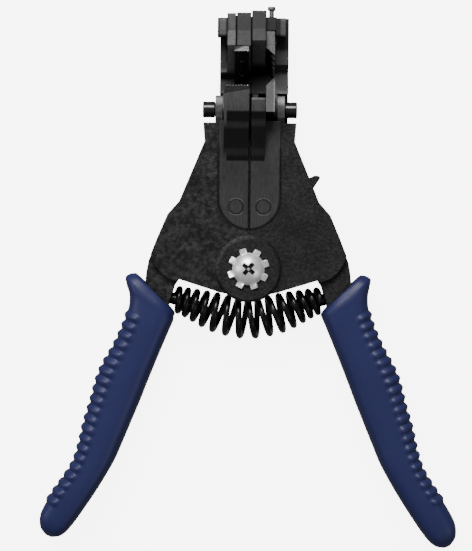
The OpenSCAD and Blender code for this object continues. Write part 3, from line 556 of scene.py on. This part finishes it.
def ground_steel(name, tint, rough, stretch, facing_stops, lights):
    sheet = Finish(name, metallic=0.85)
    scratches = sheet.noise(sheet.place(stretch), 3.0, 5, 0.7)
    pits = sheet.node("ShaderNodeTexVoronoi", {"feature": "F1"},
                      {"Vector": sheet.place(), "Scale": 1.7})
    sparkle = sheet.steps(pits, [(0.1, 1), (0.42, 0)])
    shine = (scratches * 0.55 + sparkle * 0.45).clamped()
    bare = sheet.blend(shine, grey(tint * 0.45), grey(tint * 1.4))
    facing = sheet.steps(sheet.axis(DIRECTION, 2), facing_stops)
    # Faces that don't look to the front stay black: blackened steel, and painted shade in the throat.
    colour = sheet.blend(facing, grey(0.012), bare)
    # lights gives painted highlights and painted shade, each a mask with a gain.
    sheet.set(Base_Color=sheet.gained(colour, *lights(*sheet.spot(), *sheet.towards())),
              Roughness=rough + scratches * 0.22 - sparkle * 0.12,
              Normal=sheet.bump(scratches + sparkle * 0.5, 0.6, 0.06))
    return sheet.material


def blade_painted_light(x, y, *_):
    """The upper blade gets painted shade, more above its bevel, where it looks rough; the lower blade is
    lighter, most at its right end.
    """
    upper, lower = y.window(60, 61), y.window(60, 59)
    return [(upper, 0.45), (lower, 1.65), (y.window(76.4, 76.8), 0.5),
            (x.window(7.3, 7.5) * lower, 2.0)]


def pad_painted_light(x, y, *_):
    """Painted highlight on the upper pad's nose, kept to its lower right half by painted shade; the lower
    pad is dull under painted shade, with a painted highlight along its top edge.
    """
    upper, lower = y.window(60, 61), y.window(60, 59)
    return [(upper, 0.6), ((y - x * 0.5).window(71.8, 72.3) * upper, 0.15), (lower, 0.4),
            (y.window(58.5, 58.3), 0.25), (y.window(58.3, 58.5) * lower, 4.0)]


BLADE_FACING, PAD_FACING = [(0.45, 0), (0.7, 1)], [(0.62, 0), (0.8, 1)]
BLADE_STEEL = ground_steel("blade_steel", 0.2, 0.36, (1, 0.25, 1), BLADE_FACING, blade_painted_light)
PAD_STEEL = ground_steel("pad_steel", 0.5, 0.24, (0.25, 1, 1), PAD_FACING, pad_painted_light)
print("ground steels ready")

# %% [markdown]
# ## Chrome and zinc
# The pivot screw and its washer are plated bright, and the hidden pieces have plain
# grey zinc. Plating needs little: a light metal with a faint haze. A mask along the
# two arms of the screw's crossed recess darkens them: painted shade in the recess.

# %% Chrome and zinc
RECESS_TURN = math.radians(50)


def bright_chrome(name, low, high, rough, lights=None, metallic=1.0):
    """Chrome plate: a light metal, with a faint haze of handling marks."""
    sheet = Finish(name, metallic=metallic)
    haze = sheet.noise(sheet.place(), 0.8, 4)
    colour = sheet.blend(haze, grey(low, 0.005), grey(high, 0.005))
    # lights gives painted shade, a mask with a gain.
    if lights:
        colour = sheet.gained(colour, *lights(*sheet.spot()))
    sheet.set(Base_Color=colour,
              Roughness=haze * 0.16 + rough,
              Normal=sheet.bump(haze, 0.3, 0.05))
    return sheet.material


def recess_painted_shade(x, y, z):
    """Painted shade in the crossed recess of the pivot screw: black along its arms, and left bright in the
    middle.
    """
    s, c = math.sin(RECESS_TURN), math.cos(RECESS_TURN)
    along, across = (x * c + y * s).of("ABSOLUTE"), (y * c - x * s).of("ABSOLUTE")
    near, far = along.math("MINIMUM", along, across), along.math("MAXIMUM", along, across)
    arms = near.window(0.75, 0.6) * far.window(2.4, 2.2) * far.window(0.3, 0.5)
    return [(arms * z.window(16, 16.5), 0.03)]


def plain_steel():
    """Zinc-plated steel of the hidden pieces: grey and a little cloudy."""
    sheet = Finish("plain_steel", metallic=0.9)
    clouds = sheet.noise(sheet.place(), 0.5, 4)
    sheet.set(Base_Color=sheet.blend(clouds, grey(0.26), grey(0.46)),
              Roughness=0.3 + clouds * 0.2)
    return sheet.material


CHROME = bright_chrome("bright_chrome", 0.9, 1.0, 0.3, recess_painted_shade, metallic=0.72)
DULL_CHROME = bright_chrome("dull_chrome", 0.14, 0.22, 0.5)
PLATED = plain_steel()
print("chrome and zinc ready")

# %% [markdown]
# ## Blue dipped plastic
# The grips are dipped in soft PVC. It sets with a smooth skin that has a slight
# orange peel, and its highlights are wide and soft.

# %% Blue dipped plastic


def dipped_plastic():
    sheet = Finish("dipped_blue", specular=0.35)
    peel = sheet.noise(sheet.place(), 0.45, 2)
    clouds = sheet.noise(sheet.place(), 0.07, 3)
    handled = sheet.noise(sheet.place(), 2.6, 3, 0.6)
    sheet.set(Base_Color=sheet.blend(clouds, (0.0125, 0.0155, 0.074), (0.017, 0.021, 0.094)),
              Roughness=0.38 + handled * 0.1 + clouds * 0.06,
              Normal=sheet.bump(peel + handled * 0.1, 0.35, 0.16))
    return sheet.material


BLUE = dipped_plastic()
print("grip plastic:", BLUE.name)

# %% [markdown]
# ## Rounding the steel pieces
# A CAD solid has knife-sharp edges, and a real casting or a ground block has
# none. Each solid is copied, its loose triangles are merged, flat faces are
# joined up, and a Bevel modifier rounds every edge that is sharp enough. Weighted
# normals then keep the large faces flat, so that only the narrow rounds catch light.

# %% Rounding helper
MERGE_MM = 0.002
FLAT_ANGLE = math.radians(1)
ROUNDED_ANGLE = math.radians(30)
SHARP_ANGLE = math.radians(50)


def merged_copy(node):
    """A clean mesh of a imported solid: doubles merged and flat faces joined."""
    mesh = bpy.data.meshes.new(node + "_dressed")
    bm = bmesh.new()
    bm.from_mesh(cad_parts[node].data)
    bmesh.ops.remove_doubles(bm, verts=bm.verts, dist=MERGE_MM * MM)
    bmesh.ops.dissolve_limit(bm, angle_limit=FLAT_ANGLE, verts=bm.verts, edges=bm.edges)
    bm.to_mesh(mesh)
    bm.free()
    return mesh


def add_piece(name, mesh, material):
    piece = bpy.data.objects.new(name, mesh)
    mesh.materials.clear()
    mesh.materials.append(material)
    bpy.context.scene.collection.objects.link(piece)
    return piece


def soften(piece, width_mm):
    """Rounds the piece's sharp edges, and keeps its flat faces flat."""
    bevel = piece.modifiers.new("rounded_edges", "BEVEL")
    bevel.width = width_mm * MM
    bevel.segments = 2
    bevel.limit_method = "ANGLE"
    bevel.angle_limit = ROUNDED_ANGLE
    bevel.miter_outer = "MITER_ARC"
    bake_modifiers(piece)
    for face in piece.data.polygons:
        face.use_smooth = True
    piece.data.set_sharp_from_angle(angle=SHARP_ANGLE)
    normals = piece.modifiers.new("flat_faces", "WEIGHTED_NORMAL")
    normals.keep_sharp = True
    return bake_modifiers(piece)


def hand_over(piece, body, slot, node):
    """The piece rides on its body and stands for its node; slot is not used."""
    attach(piece, body)
    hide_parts(node)
    return piece


def dressed(node, body, slot, material, width_mm):
    """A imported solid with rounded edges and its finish, in the solid's place."""
    piece = add_piece(node + "_dressed", merged_copy(node), material)
    soften(piece, width_mm)
    return hand_over(piece, body, slot, node)


print("rounding helpers ready")

# %% [markdown]
# ## Dipped grips
# A dipped grip has a soft outline that swells, waists and hooks, and its section
# is nearly a rectangle with round corners. Carving it from a box with
# subdivision would blur the waist, so it is lofted: a table gives the outer and
# the inner edge along the chord as shares of the grip's length and width, a smooth
# curve runs through it, and each section is a squared-off ellipse.

# %% Grip outline
GRIP_LENGTH, GRIP_WIDTH, GRIP_THICK = 88.0, 15.6, 17.0
GRIP_TURN = math.radians(23.5)
GRIP_ROOT = (30.2, -9.0)
GRIP_SQUARENESS = 3.4
RIM_ROUND = 0.6
RIM_TURNS = (90, 60, 35, 12)
GRIP_SHARES = [(-0.05, 0.58, 0.02, -0.47, 0.86), (-0.023, 0.715, 0.03, -0.525, 0.96),
               (0.005, 0.63, 0.04, -0.53, 1), (0.035, 0.52, 0.06, -0.53, 1), (0.08, 0.43, 0.09, -0.53, 1),
               (0.15, 0.385, 0.15, -0.535, 1), (0.23, 0.395, 0.23, -0.545, 1), (0.31, 0.44, 0.31, -0.56, 1),
               (0.37, 0.43, 0.37, -0.575, 1), (0.45, 0.36, 0.45, -0.585, 1), (0.54, 0.3, 0.54, -0.595, 1),
               (0.62, 0.215, 0.62, -0.6, 1), (0.69, 0.175, 0.69, -0.565, 1), (0.76, 0.22, 0.76, -0.515, 1),
               (0.83, 0.3, 0.83, -0.45, 1), (0.9, 0.355, 0.9, -0.375, 0.98), (0.94, 0.34, 0.95, -0.3, 0.92),
               (0.975, 0.25, 0.978, -0.21, 0.74), (0.995, 0.1, 0.995, -0.08, 0.4)]
LEFT_SHORT_SHARE, LEFT_IN_SHARE, GUARD_ROWS = 0.03, 0.03, 3
ROW_STEP_SHARE = 1 / 14
RIM_ROWS = 5
SECTION_SIDES = 80


def grip_rows(side):
    """The table for one grip: the left one is shorter, and sits further in below its guard."""
    for i, (s0, e0, s1, e1, thin) in enumerate(GRIP_SHARES):
        short = LEFT_SHORT_SHARE if side < 0 else 0
        shift = LEFT_IN_SHARE if side < 0 and i >= GUARD_ROWS else 0
        yield s0 * (1 - short * s0), e0 - shift, s1 * (1 - short * s1), e1 - shift, thin


def smooth_row(rows, at):
    """A row between the table's rows, on a Catmull-Rom curve through them."""
    k = min(int(at), len(rows) - 2)
    u = at - k
    near = (rows[max(0, min(len(rows) - 1, k + d))] for d in (-1, 0, 1, 2))
    return [0.5 * (2 * b + (c - a) * u + (2 * a - 5 * b + 4 * c - d) * u * u
                   + (3 * b - a - 3 * c + d) * u ** 3) for a, b, c, d in zip(*near)]


def along_grip(distance, outward):
    """A point on the right grip in millimetres: distance down its chord, and outward from it."""
    s, c = math.sin(GRIP_TURN), math.cos(GRIP_TURN)
    return Vector(GRIP_ROOT) + Vector((distance * s + outward * c, outward * s - distance * c))


def squared(value):
    return math.copysign(abs(value) ** (2 / GRIP_SQUARENESS), value)


def rounded_rim(outer, inner, half):
    """The grip's mouth: its first section again and again, set in along a quarter circle."""
    across = (outer - inner).normalized()
    into = Vector((-across.y, across.x))
    into = into if into.y < 0 else -into
    for turn in map(math.radians, RIM_TURNS):
        inset, depth = RIM_ROUND * (1 - math.cos(turn)), RIM_ROUND * (1 - math.sin(turn))
        yield outer - across * inset + into * depth, inner + across * inset + into * depth, half - inset


def grip_sections(side):
    """Each section as (outer edge, inner edge, half thickness), from the guard to the tip."""
    rows = list(grip_rows(side))
    steps = round((len(rows) - 1) / ROW_STEP_SHARE)
    for i in range(steps + 1):
        s0, e0, s1, e1, thin = smooth_row(rows, i * ROW_STEP_SHARE)
        outer = along_grip(s0 * GRIP_LENGTH, e0 * GRIP_WIDTH)
        inner = along_grip(s1 * GRIP_LENGTH, e1 * GRIP_WIDTH)
        half = thin * GRIP_THICK / 2
        if i == 0:
            yield from rounded_rim(outer, inner, half)
        elif i >= RIM_ROWS:
            yield outer, inner, half


print("grip sections:", len(list(grip_sections(1))))

# %% [markdown]
# ## Ribs of the grips
# Twenty-one short ribs run round the outer edge, where the fingers lie. They are
# part of the same skin, so they aren't separate tubes: a Geometry Nodes recipe
# pushes the skin outwards. Each point of the skin carries its distance along the
# outer edge and its nearness to that edge, and the recipe turns the first into
# evenly spaced waves and fades them with the second.

# %% Rib recipe


def rib_recipe():
    recipe = Recipe("grip_ribs", {"Pitch": 3.0, "First": 10.0, "Count": 21, "Height": 0.8,
                                  "Sharpness": 0.8})
    along, near = recipe.attribute("along_mm"), recipe.attribute("nearness")
    pitches = (along - recipe.size("First")) / recipe.size("Pitch")
    wave = (pitches * math.tau).of("COSINE") * 0.5 + 0.5
    begun = pitches.math("GREATER_THAN", pitches, -0.5)
    inside = begun * pitches.math("LESS_THAN", pitches, recipe.size("Count") - 0.5)
    lift = (wave ** recipe.size("Sharpness")) * inside * near * recipe.size("Height") * MM
    normal = recipe.node("GeometryNodeInputNormal")
    push = recipe.node("ShaderNodeVectorMath", {"operation": "SCALE"}, {0: normal, "Scale": lift})
    moved = recipe.node("GeometryNodeSetPosition", {},
                        {"Geometry": recipe.size("Geometry"), "Offset": push})
    recipe.end(moved)
    return recipe


RIBS = rib_recipe()
print("rib recipe inputs:", list(RIBS.keys))

# %% [markdown]
# ## Both grips
# The sections are joined to one closed skin, and both ends are closed with rings of
# faces round a pole. A Solidify modifier could give a hollow grip, but nobody sees
# the inside, since the tang fills it. The left grip is the shorter one, so its ribs
# start a little later and lie a little wider apart.

# %% Both grips
RIB_REACH_SHARE = (0.34, 0.5)
RIB_COUNT, RIB_HEIGHT, RIB_SHARPNESS = 21, 0.8, 0.8
RIBBED_ANGLE = math.radians(40)
CAP_RINGS = 5
GRIPS = ((-1, "left_grip", "left_half", 16.3, 3.26), (1, "right_grip", "right_half", 15.4, 3.21))


def smooth_step(low, high, value):
    u = max(0.0, min(1.0, (value - low) / (high - low)))
    return u * u * (3 - 2 * u)


def next_in(ring, k):
    return ring[(k + 1) % len(ring)]


def add_band(bm, first, second):
    """A band of faces between two rings with as many points."""
    for k in range(len(first)):
        bm.faces.new((first[k], next_in(first, k), next_in(second, k), second[k]))


def close_ring(bm, ring, near_layer):
    """Closes a ring with smaller and smaller rings and a pole."""
    centre = sum((v.co for v in ring), Vector()) / len(ring)
    outside = ring
    for n in range(1, CAP_RINGS):
        inset = [bm.verts.new(centre + (v.co - centre) * (1 - n / CAP_RINGS)) for v in ring]
        for vert in inset:
            vert[near_layer] = 0.0
        add_band(bm, outside, inset)
        outside = inset
    pole = bm.verts.new(centre)
    for k in range(len(outside)):
        bm.faces.new((outside[k], next_in(outside, k), pole))


def grip_skin(side):
    """A grip's closed skin, with what its ribs need stored on each point."""
    bm = bmesh.new()
    along_layer = bm.verts.layers.float.new("along_mm")
    near_layer = bm.verts.layers.float.new("nearness")
    rings, walked, last = [], 0.0, None
    for outer, inner, half in grip_sections(side):
        walked += (outer - last).length if last else 0.0
        last = outer
        middle, reach = (outer + inner) / 2, (outer - inner) / 2
        ring = []
        for k in range(SECTION_SIDES):
            angle = math.tau * k / SECTION_SIDES
            c, s = squared(math.cos(angle)), squared(math.sin(angle))
            flat = middle + reach * c
            vert = bm.verts.new((side * flat.x * MM, flat.y * MM, (GRIP_THICK / 2 + half * s) * MM))
            vert[along_layer] = walked
            vert[near_layer] = smooth_step(*RIB_REACH_SHARE, c)
            ring.append(vert)
        rings.append(ring)
    for first, second in zip(rings, rings[1:]):
        add_band(bm, first, second)
    for ring in (rings[0], rings[-1]):
        close_ring(bm, ring, near_layer)
    bmesh.ops.recalc_face_normals(bm, faces=bm.faces)
    mesh = bpy.data.meshes.new("grip_skin")
    bm.to_mesh(mesh)
    bm.free()
    return mesh


for side, name, body, first_rib, pitch in GRIPS:
    grip = add_piece(name + "_dipped", grip_skin(side), BLUE)
    RIBS.run_on(grip, BLUE, Pitch=pitch, First=first_rib, Count=RIB_COUNT, Height=RIB_HEIGHT,
                Sharpness=RIB_SHARPNESS)
    grip.data.set_sharp_from_angle(angle=RIBBED_ANGLE)
    hand_over(grip, body, "dipped_blue", name)
    print(name, len(grip.data.polygons), "faces")

# %% [markdown]
# ## Springs
# A spring is one round wire, so one Geometry Nodes recipe sweeps a circle along a
# line of points, and serves the handle spring as well as the two small coils on the
# jaw pins. Only the lines differ.

# %% Wire recipe


def wire_recipe():
    recipe = Recipe("wire_along_line", {"Radius": 1.0, "Sides": 12})
    line = recipe.node("GeometryNodeMeshToCurve", {}, {0: recipe.size("Geometry")})
    thick = recipe.node("GeometryNodeSetCurveRadius", {}, {"Curve": line, "Radius": 1.0})
    ring = recipe.node("GeometryNodeCurvePrimitiveCircle", {"mode": "RADIUS"},
                       {"Resolution": recipe.size("Sides"), "Radius": recipe.size("Radius") * MM})
    swept = recipe.node("GeometryNodeCurveToMesh", {},
                        {"Curve": thick, "Profile Curve": ring, "Fill Caps": True})
    recipe.end(swept)
    return recipe


WIRE = wire_recipe()


def guide_line(name, points):
    """A mesh of edges through points in millimetres, for the wire recipe to follow."""
    mesh = bpy.data.meshes.new(name)
    edges = [(i, i + 1) for i in range(len(points) - 1)]
    mesh.from_pydata([tuple(c * MM for c in p) for p in points], edges, [])
    return mesh


def wound_wire(name, points, material, radius, sides):
    """A closed round wire along points in millimetres."""
    piece = add_piece(name, guide_line(name, points), material)
    WIRE.run_on(piece, material, Radius=radius, Sides=sides)
    bm = bmesh.new()
    bm.from_mesh(piece.data)
    bmesh.ops.recalc_face_normals(bm, faces=bm.faces)
    bm.to_mesh(piece.data)
    bm.free()
    piece.data.set_sharp_from_angle(angle=SHARP_ANGLE)
    return piece


print("wire recipe ready")

# %% [markdown]
# ## Handle spring
# The spring that opens the handles is wound into fourteen and a half turns, fatter
# in the middle, and it bows down between the tangs. A Screw modifier would give an
# even, straight coil, so its line is computed point by point: a centre line from
# seat to seat, and a radius that swells on the way. It crosses the main pivot.

# %% Handle spring
SPRING_TURNS = 14.5
SPRING_STEPS, SPRING_SIDES = 28, 14
START_TURN = -0.25
WIRE_RADIUS = 1.0
COIL_END_RADIUS, COIL_MIDDLE_RADIUS = 4.4, 6.7
SPRING_MIDDLE_Y = -16.1
SPRING_START = 0.028
SPRING_LEAN_SHARE, SWELL_SHARE, CLOSER_SHARE = 0.7, 0.66, 0.25
HIP_WIDTH, SHOULDER_Y = 33.0, 47.0
SEAT_EDGE_SHARES, SEAT_AT_SHARE = ((0.787, -0.27), (0.725, -0.118)), 0.433
SEAT_EDGE = [Vector((x * HIP_WIDTH, y * SHOULDER_Y)) for x, y in SEAT_EDGE_SHARES]
SEAT = SEAT_EDGE[0].lerp(SEAT_EDGE[1], SEAT_AT_SHARE)
SEAT_LEAN = SEAT_EDGE[1] - SEAT_EDGE[0]
SEAT_Z = 8.0
SMALL_SHARE = 0.001
SPRING_SLOPE = SPRING_LEAN_SHARE * SEAT_LEAN.x / SEAT_LEAN.y * SEAT.x


def spring_centre(t):
    """Centre line of the spring, from the left seat at 0 to the right one at 1."""
    s = 2 * t - 1
    h = 1 - abs(s)
    drop = SEAT.y - SPRING_MIDDLE_Y
    y = SEAT.y - drop * (3 - 2 * h) * h * h + SPRING_SLOPE * (h ** 3 - 2 * h * h + h)
    return Vector((s * SEAT.x, y, SEAT_Z))


def spring_direction(t):
    return (spring_centre(t + SMALL_SHARE) - spring_centre(t - SMALL_SHARE)).normalized()


def spring_points():
    """The wire's own line: coils that swell towards the middle and lie closer at both ends."""
    total = round(SPRING_TURNS * SPRING_STEPS)
    for i in range(total + 1):
        u = i / total
        u -= CLOSER_SHARE * math.sin(math.tau * u) / math.tau
        t = SPRING_START + (1 - 2 * SPRING_START) * u
        angle = math.tau * (i / SPRING_STEPS + START_TURN)
        way = spring_direction(t)
        across = Vector((-way.y, way.x, 0)) * math.cos(angle) + Vector((0, 0, 1)) * math.sin(angle)
        swell = smooth_step(0, SWELL_SHARE, 1 - abs(2 * t - 1))
        radius = COIL_END_RADIUS + (COIL_MIDDLE_RADIUS - COIL_END_RADIUS) * swell - WIRE_RADIUS
        yield spring_centre(t) + across * radius


spring = wound_wire("handle_spring_wire", list(spring_points()), SPRING_STEEL, WIRE_RADIUS, SPRING_SIDES)
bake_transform(spring)
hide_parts("handle_spring")
print("spring:", SPRING_TURNS, "turns,", len(spring.data.polygons), "faces")

# %% [markdown]
# ## Jaw springs
# Each upper jaw is pushed open by a small coil round its cross pin, hidden between
# the barrels. It is a plain even coil, so a Screw modifier would do here, but the
# wire recipe is ready and gives the same kind of mesh.

# %% Jaw springs
JAW_COIL_RADIUS, JAW_WIRE_RADIUS, JAW_WIRE_SIDES = 2.9, 0.25, 10
JAW_TURNS, JAW_STEPS = 3, 24
JAW_PIN = (51.7, 8.5)
JAW_COIL_SPAN = (3.05, 4.95)


def jaw_spring_points(side):
    """One coil round a jaw pin, whose axis lies along X."""
    total = JAW_TURNS * JAW_STEPS
    for i in range(total + 1):
        angle = math.tau * i / JAW_STEPS
        x = JAW_COIL_SPAN[0] + (JAW_COIL_SPAN[1] - JAW_COIL_SPAN[0]) * i / total
        yield Vector((side * x, JAW_PIN[0] + JAW_COIL_RADIUS * math.cos(angle),
                      JAW_PIN[1] + JAW_COIL_RADIUS * math.sin(angle)))


for side, half in ((-1, "left"), (1, "right")):
    coil = wound_wire(half + "_jaw_coil", list(jaw_spring_points(side)), PLATED, JAW_WIRE_RADIUS,
                      JAW_WIRE_SIDES)
    hand_over(coil, half + "_half", "plain_steel", half + "_jaw_spring")
    print(coil.name, len(coil.data.polygons), "faces")

# %% [markdown]
# ## Star washer
# Eight teeth are punched round a flat ring, and each is twisted so that its
# corners bite into the screw head and the casting. Modelling eight teeth by hand
# would be dull, so one twisted tooth is made and a Geometry Nodes recipe repeats
# it round a circle and turns each copy outwards.

# %% Star washer
WASHER_Z, WASHER_THICK, WASHER_RADIUS, WASHER_BORE = 17.45, 0.8, 5.15, 2.6
TOOTH_COUNT, TOOTH_WIDTH, TOOTH_REACH, TOOTH_ROOT, TOOTH_EDGE = 8, 2.2, 6.65, 1.0, 0.12
TOOTH_TWIST, FIRST_TOOTH = math.radians(16), math.radians(18)
TWIST_START, TWIST_LENGTH = -0.4, 0.9
TOOTH_ANGLE = math.radians(40)
RING_SIDES = 64


def teeth_recipe():
    recipe = Recipe("teeth_round_ring", {"Count": 8, "Radius": 5.0, "First": 0.0})
    circle = recipe.node("GeometryNodeMeshCircle", {"fill_type": "NONE"},
                         {"Vertices": recipe.size("Count"), "Radius": recipe.size("Radius") * MM})
    index = recipe.node("GeometryNodeInputIndex")
    turn = recipe.node("ShaderNodeCombineXYZ", {}, {"Z": index * math.tau / recipe.size("Count")})
    spread = recipe.node("GeometryNodeInstanceOnPoints", {},
                         {"Points": circle, "Instance": recipe.size("Geometry"), "Rotation": turn})
    whole = recipe.node("ShaderNodeCombineXYZ", {}, {"Z": recipe.size("First")})
    recipe.end(recipe.node("GeometryNodeTransform", {}, {"Geometry": spread, "Rotation": whole}))
    return recipe


def twisted_tooth():
    """A tooth that lies along X from the ring's edge outwards, twisted about its own length."""
    bm = bmesh.new()
    bmesh.ops.create_cube(bm, size=1)
    length = TOOTH_REACH - WASHER_RADIUS + TOOTH_ROOT
    for vert in bm.verts:
        x, y, z = vert.co
        along = x * length + length / 2 - TOOTH_ROOT
        vert.co = Vector((along, y * TOOTH_WIDTH, z * WASHER_THICK)) * MM
    bmesh.ops.subdivide_edges(bm, edges=bm.edges, cuts=4, use_grid_fill=True)
    for vert in bm.verts:
        share = max(0.0, min(1.0, (vert.co.x / MM - TWIST_START) / TWIST_LENGTH))
        vert.co = Matrix.Rotation(TOOTH_TWIST * share, 3, "X") @ vert.co
    edges = [e for e in bm.edges if e.calc_face_angle(0) > 1]
    bmesh.ops.bevel(bm, geom=edges, offset=TOOTH_EDGE * MM, segments=2, affect="EDGES")
    mesh = bpy.data.meshes.new("twisted_tooth")
    bm.to_mesh(mesh)
    bm.free()
    return mesh


def add_ring(piece):
    """Adds the washer's flat ring, a closed lathe, to its teeth, and lifts both to their place."""
    low, high = -WASHER_THICK / 2, WASHER_THICK / 2
    profile = [(WASHER_BORE, low), (WASHER_RADIUS, low), (WASHER_RADIUS, high), (WASHER_BORE, high)]
    turns = [math.tau * k / RING_SIDES for k in range(RING_SIDES)]
    bm = bmesh.new()
    bm.from_mesh(piece.data)
    rings = [[bm.verts.new((r * math.cos(a) * MM, r * math.sin(a) * MM, z * MM)) for r, z in profile]
             for a in turns]
    for k, first in enumerate(rings):
        add_band(bm, first, next_in(rings, k))
    bmesh.ops.recalc_face_normals(bm, faces=bm.faces)
    bmesh.ops.translate(bm, verts=bm.verts, vec=(0, 0, WASHER_Z * MM))
    bm.to_mesh(piece.data)
    bm.free()
    piece.data.set_sharp_from_angle(angle=TOOTH_ANGLE)


TEETH = teeth_recipe()
washer = add_piece("star_washer_twisted", twisted_tooth(), CHROME)
TEETH.run_on(washer, CHROME, Count=TOOTH_COUNT, Radius=WASHER_RADIUS, First=FIRST_TOOTH)
add_ring(washer)
hand_over(washer, "left_half", "bright_chrome", "star_washer")
print("washer:", len(washer.data.polygons), "faces")

# %% [markdown]
# ## Castings, jaws and pins
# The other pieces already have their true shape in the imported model. Modelling them
# again would only risk a misfit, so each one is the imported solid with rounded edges
# and its own finish. Castings get the widest round, blades and pads the sharpest.

# %% Castings, jaws and pins
DRESSED = [
    ("left_frame", "left_half", "cast_black", LEFT_CASTING, 0.45),
    ("right_frame", "right_half", "cast_black", RIGHT_CASTING, 0.45),
    ("left_lower_jaw", "left_half", "cast_black", BAR_STEEL, 0.25),
    ("right_lower_jaw", "right_half", "cast_black", BAR_STEEL, 0.25),
    ("left_upper_jaw", "left_upper", "cast_black", JAW_STEEL, 0.25),
    ("right_upper_jaw", "right_upper", "cast_black", JAW_STEEL, 0.25),
    ("left_jaw_pin", "left_half", "black_steel", PIN_STEEL, 0.35),
    ("right_jaw_pin", "right_half", "black_steel", PIN_STEEL, 0.35),
    ("left_bar_rivet", "left_half", "black_steel", BAR_STEEL, 0.2),
    ("right_bar_rivet", "right_half", "black_steel", BAR_STEEL, 0.2),
    ("left_spring_seat", "left_half", "black_steel", PIN_STEEL, 0.3),
    ("right_spring_seat", "right_half", "black_steel", PIN_STEEL, 0.3),
    ("lower_grip_pad", "left_half", "ground_steel", PAD_STEEL, 0.06),
    ("upper_grip_pad", "left_upper", "ground_steel", PAD_STEEL, 0.06),
    ("lower_blade", "right_half", "ground_steel", BLADE_STEEL, 0.06),
    ("upper_blade", "right_upper", "ground_steel", BLADE_STEEL, 0.06),
    ("blade_stop_screw", "right_upper", "black_steel", DULL_CHROME, 0.15),
    ("jaw_cam", "cam_plate", "plain_steel", PLATED, 0.15),
    ("pivot_screw", "left_half", "bright_chrome", CHROME, 0.2),
    ("pivot_nut", "left_half", "plain_steel", PLATED, 0.3),
    ("pivot_sleeve", "left_half", "plain_steel", PLATED, 0.1),
    ("grip_pad_screws_lower", "left_half", "black_steel", PIN_STEEL, 0.1),
    ("grip_pad_screws_upper", "left_upper", "black_steel", PIN_STEEL, 0.1),
    ("lower_blade_screws", "right_half", "black_steel", PIN_STEEL, 0.1),
    ("upper_blade_screws", "right_upper", "black_steel", PIN_STEEL, 0.1),
]
for node, body, slot, material, width in DRESSED:
    piece = dressed(node, body, slot, material, width)
    print(node, len(piece.data.polygons), "faces")
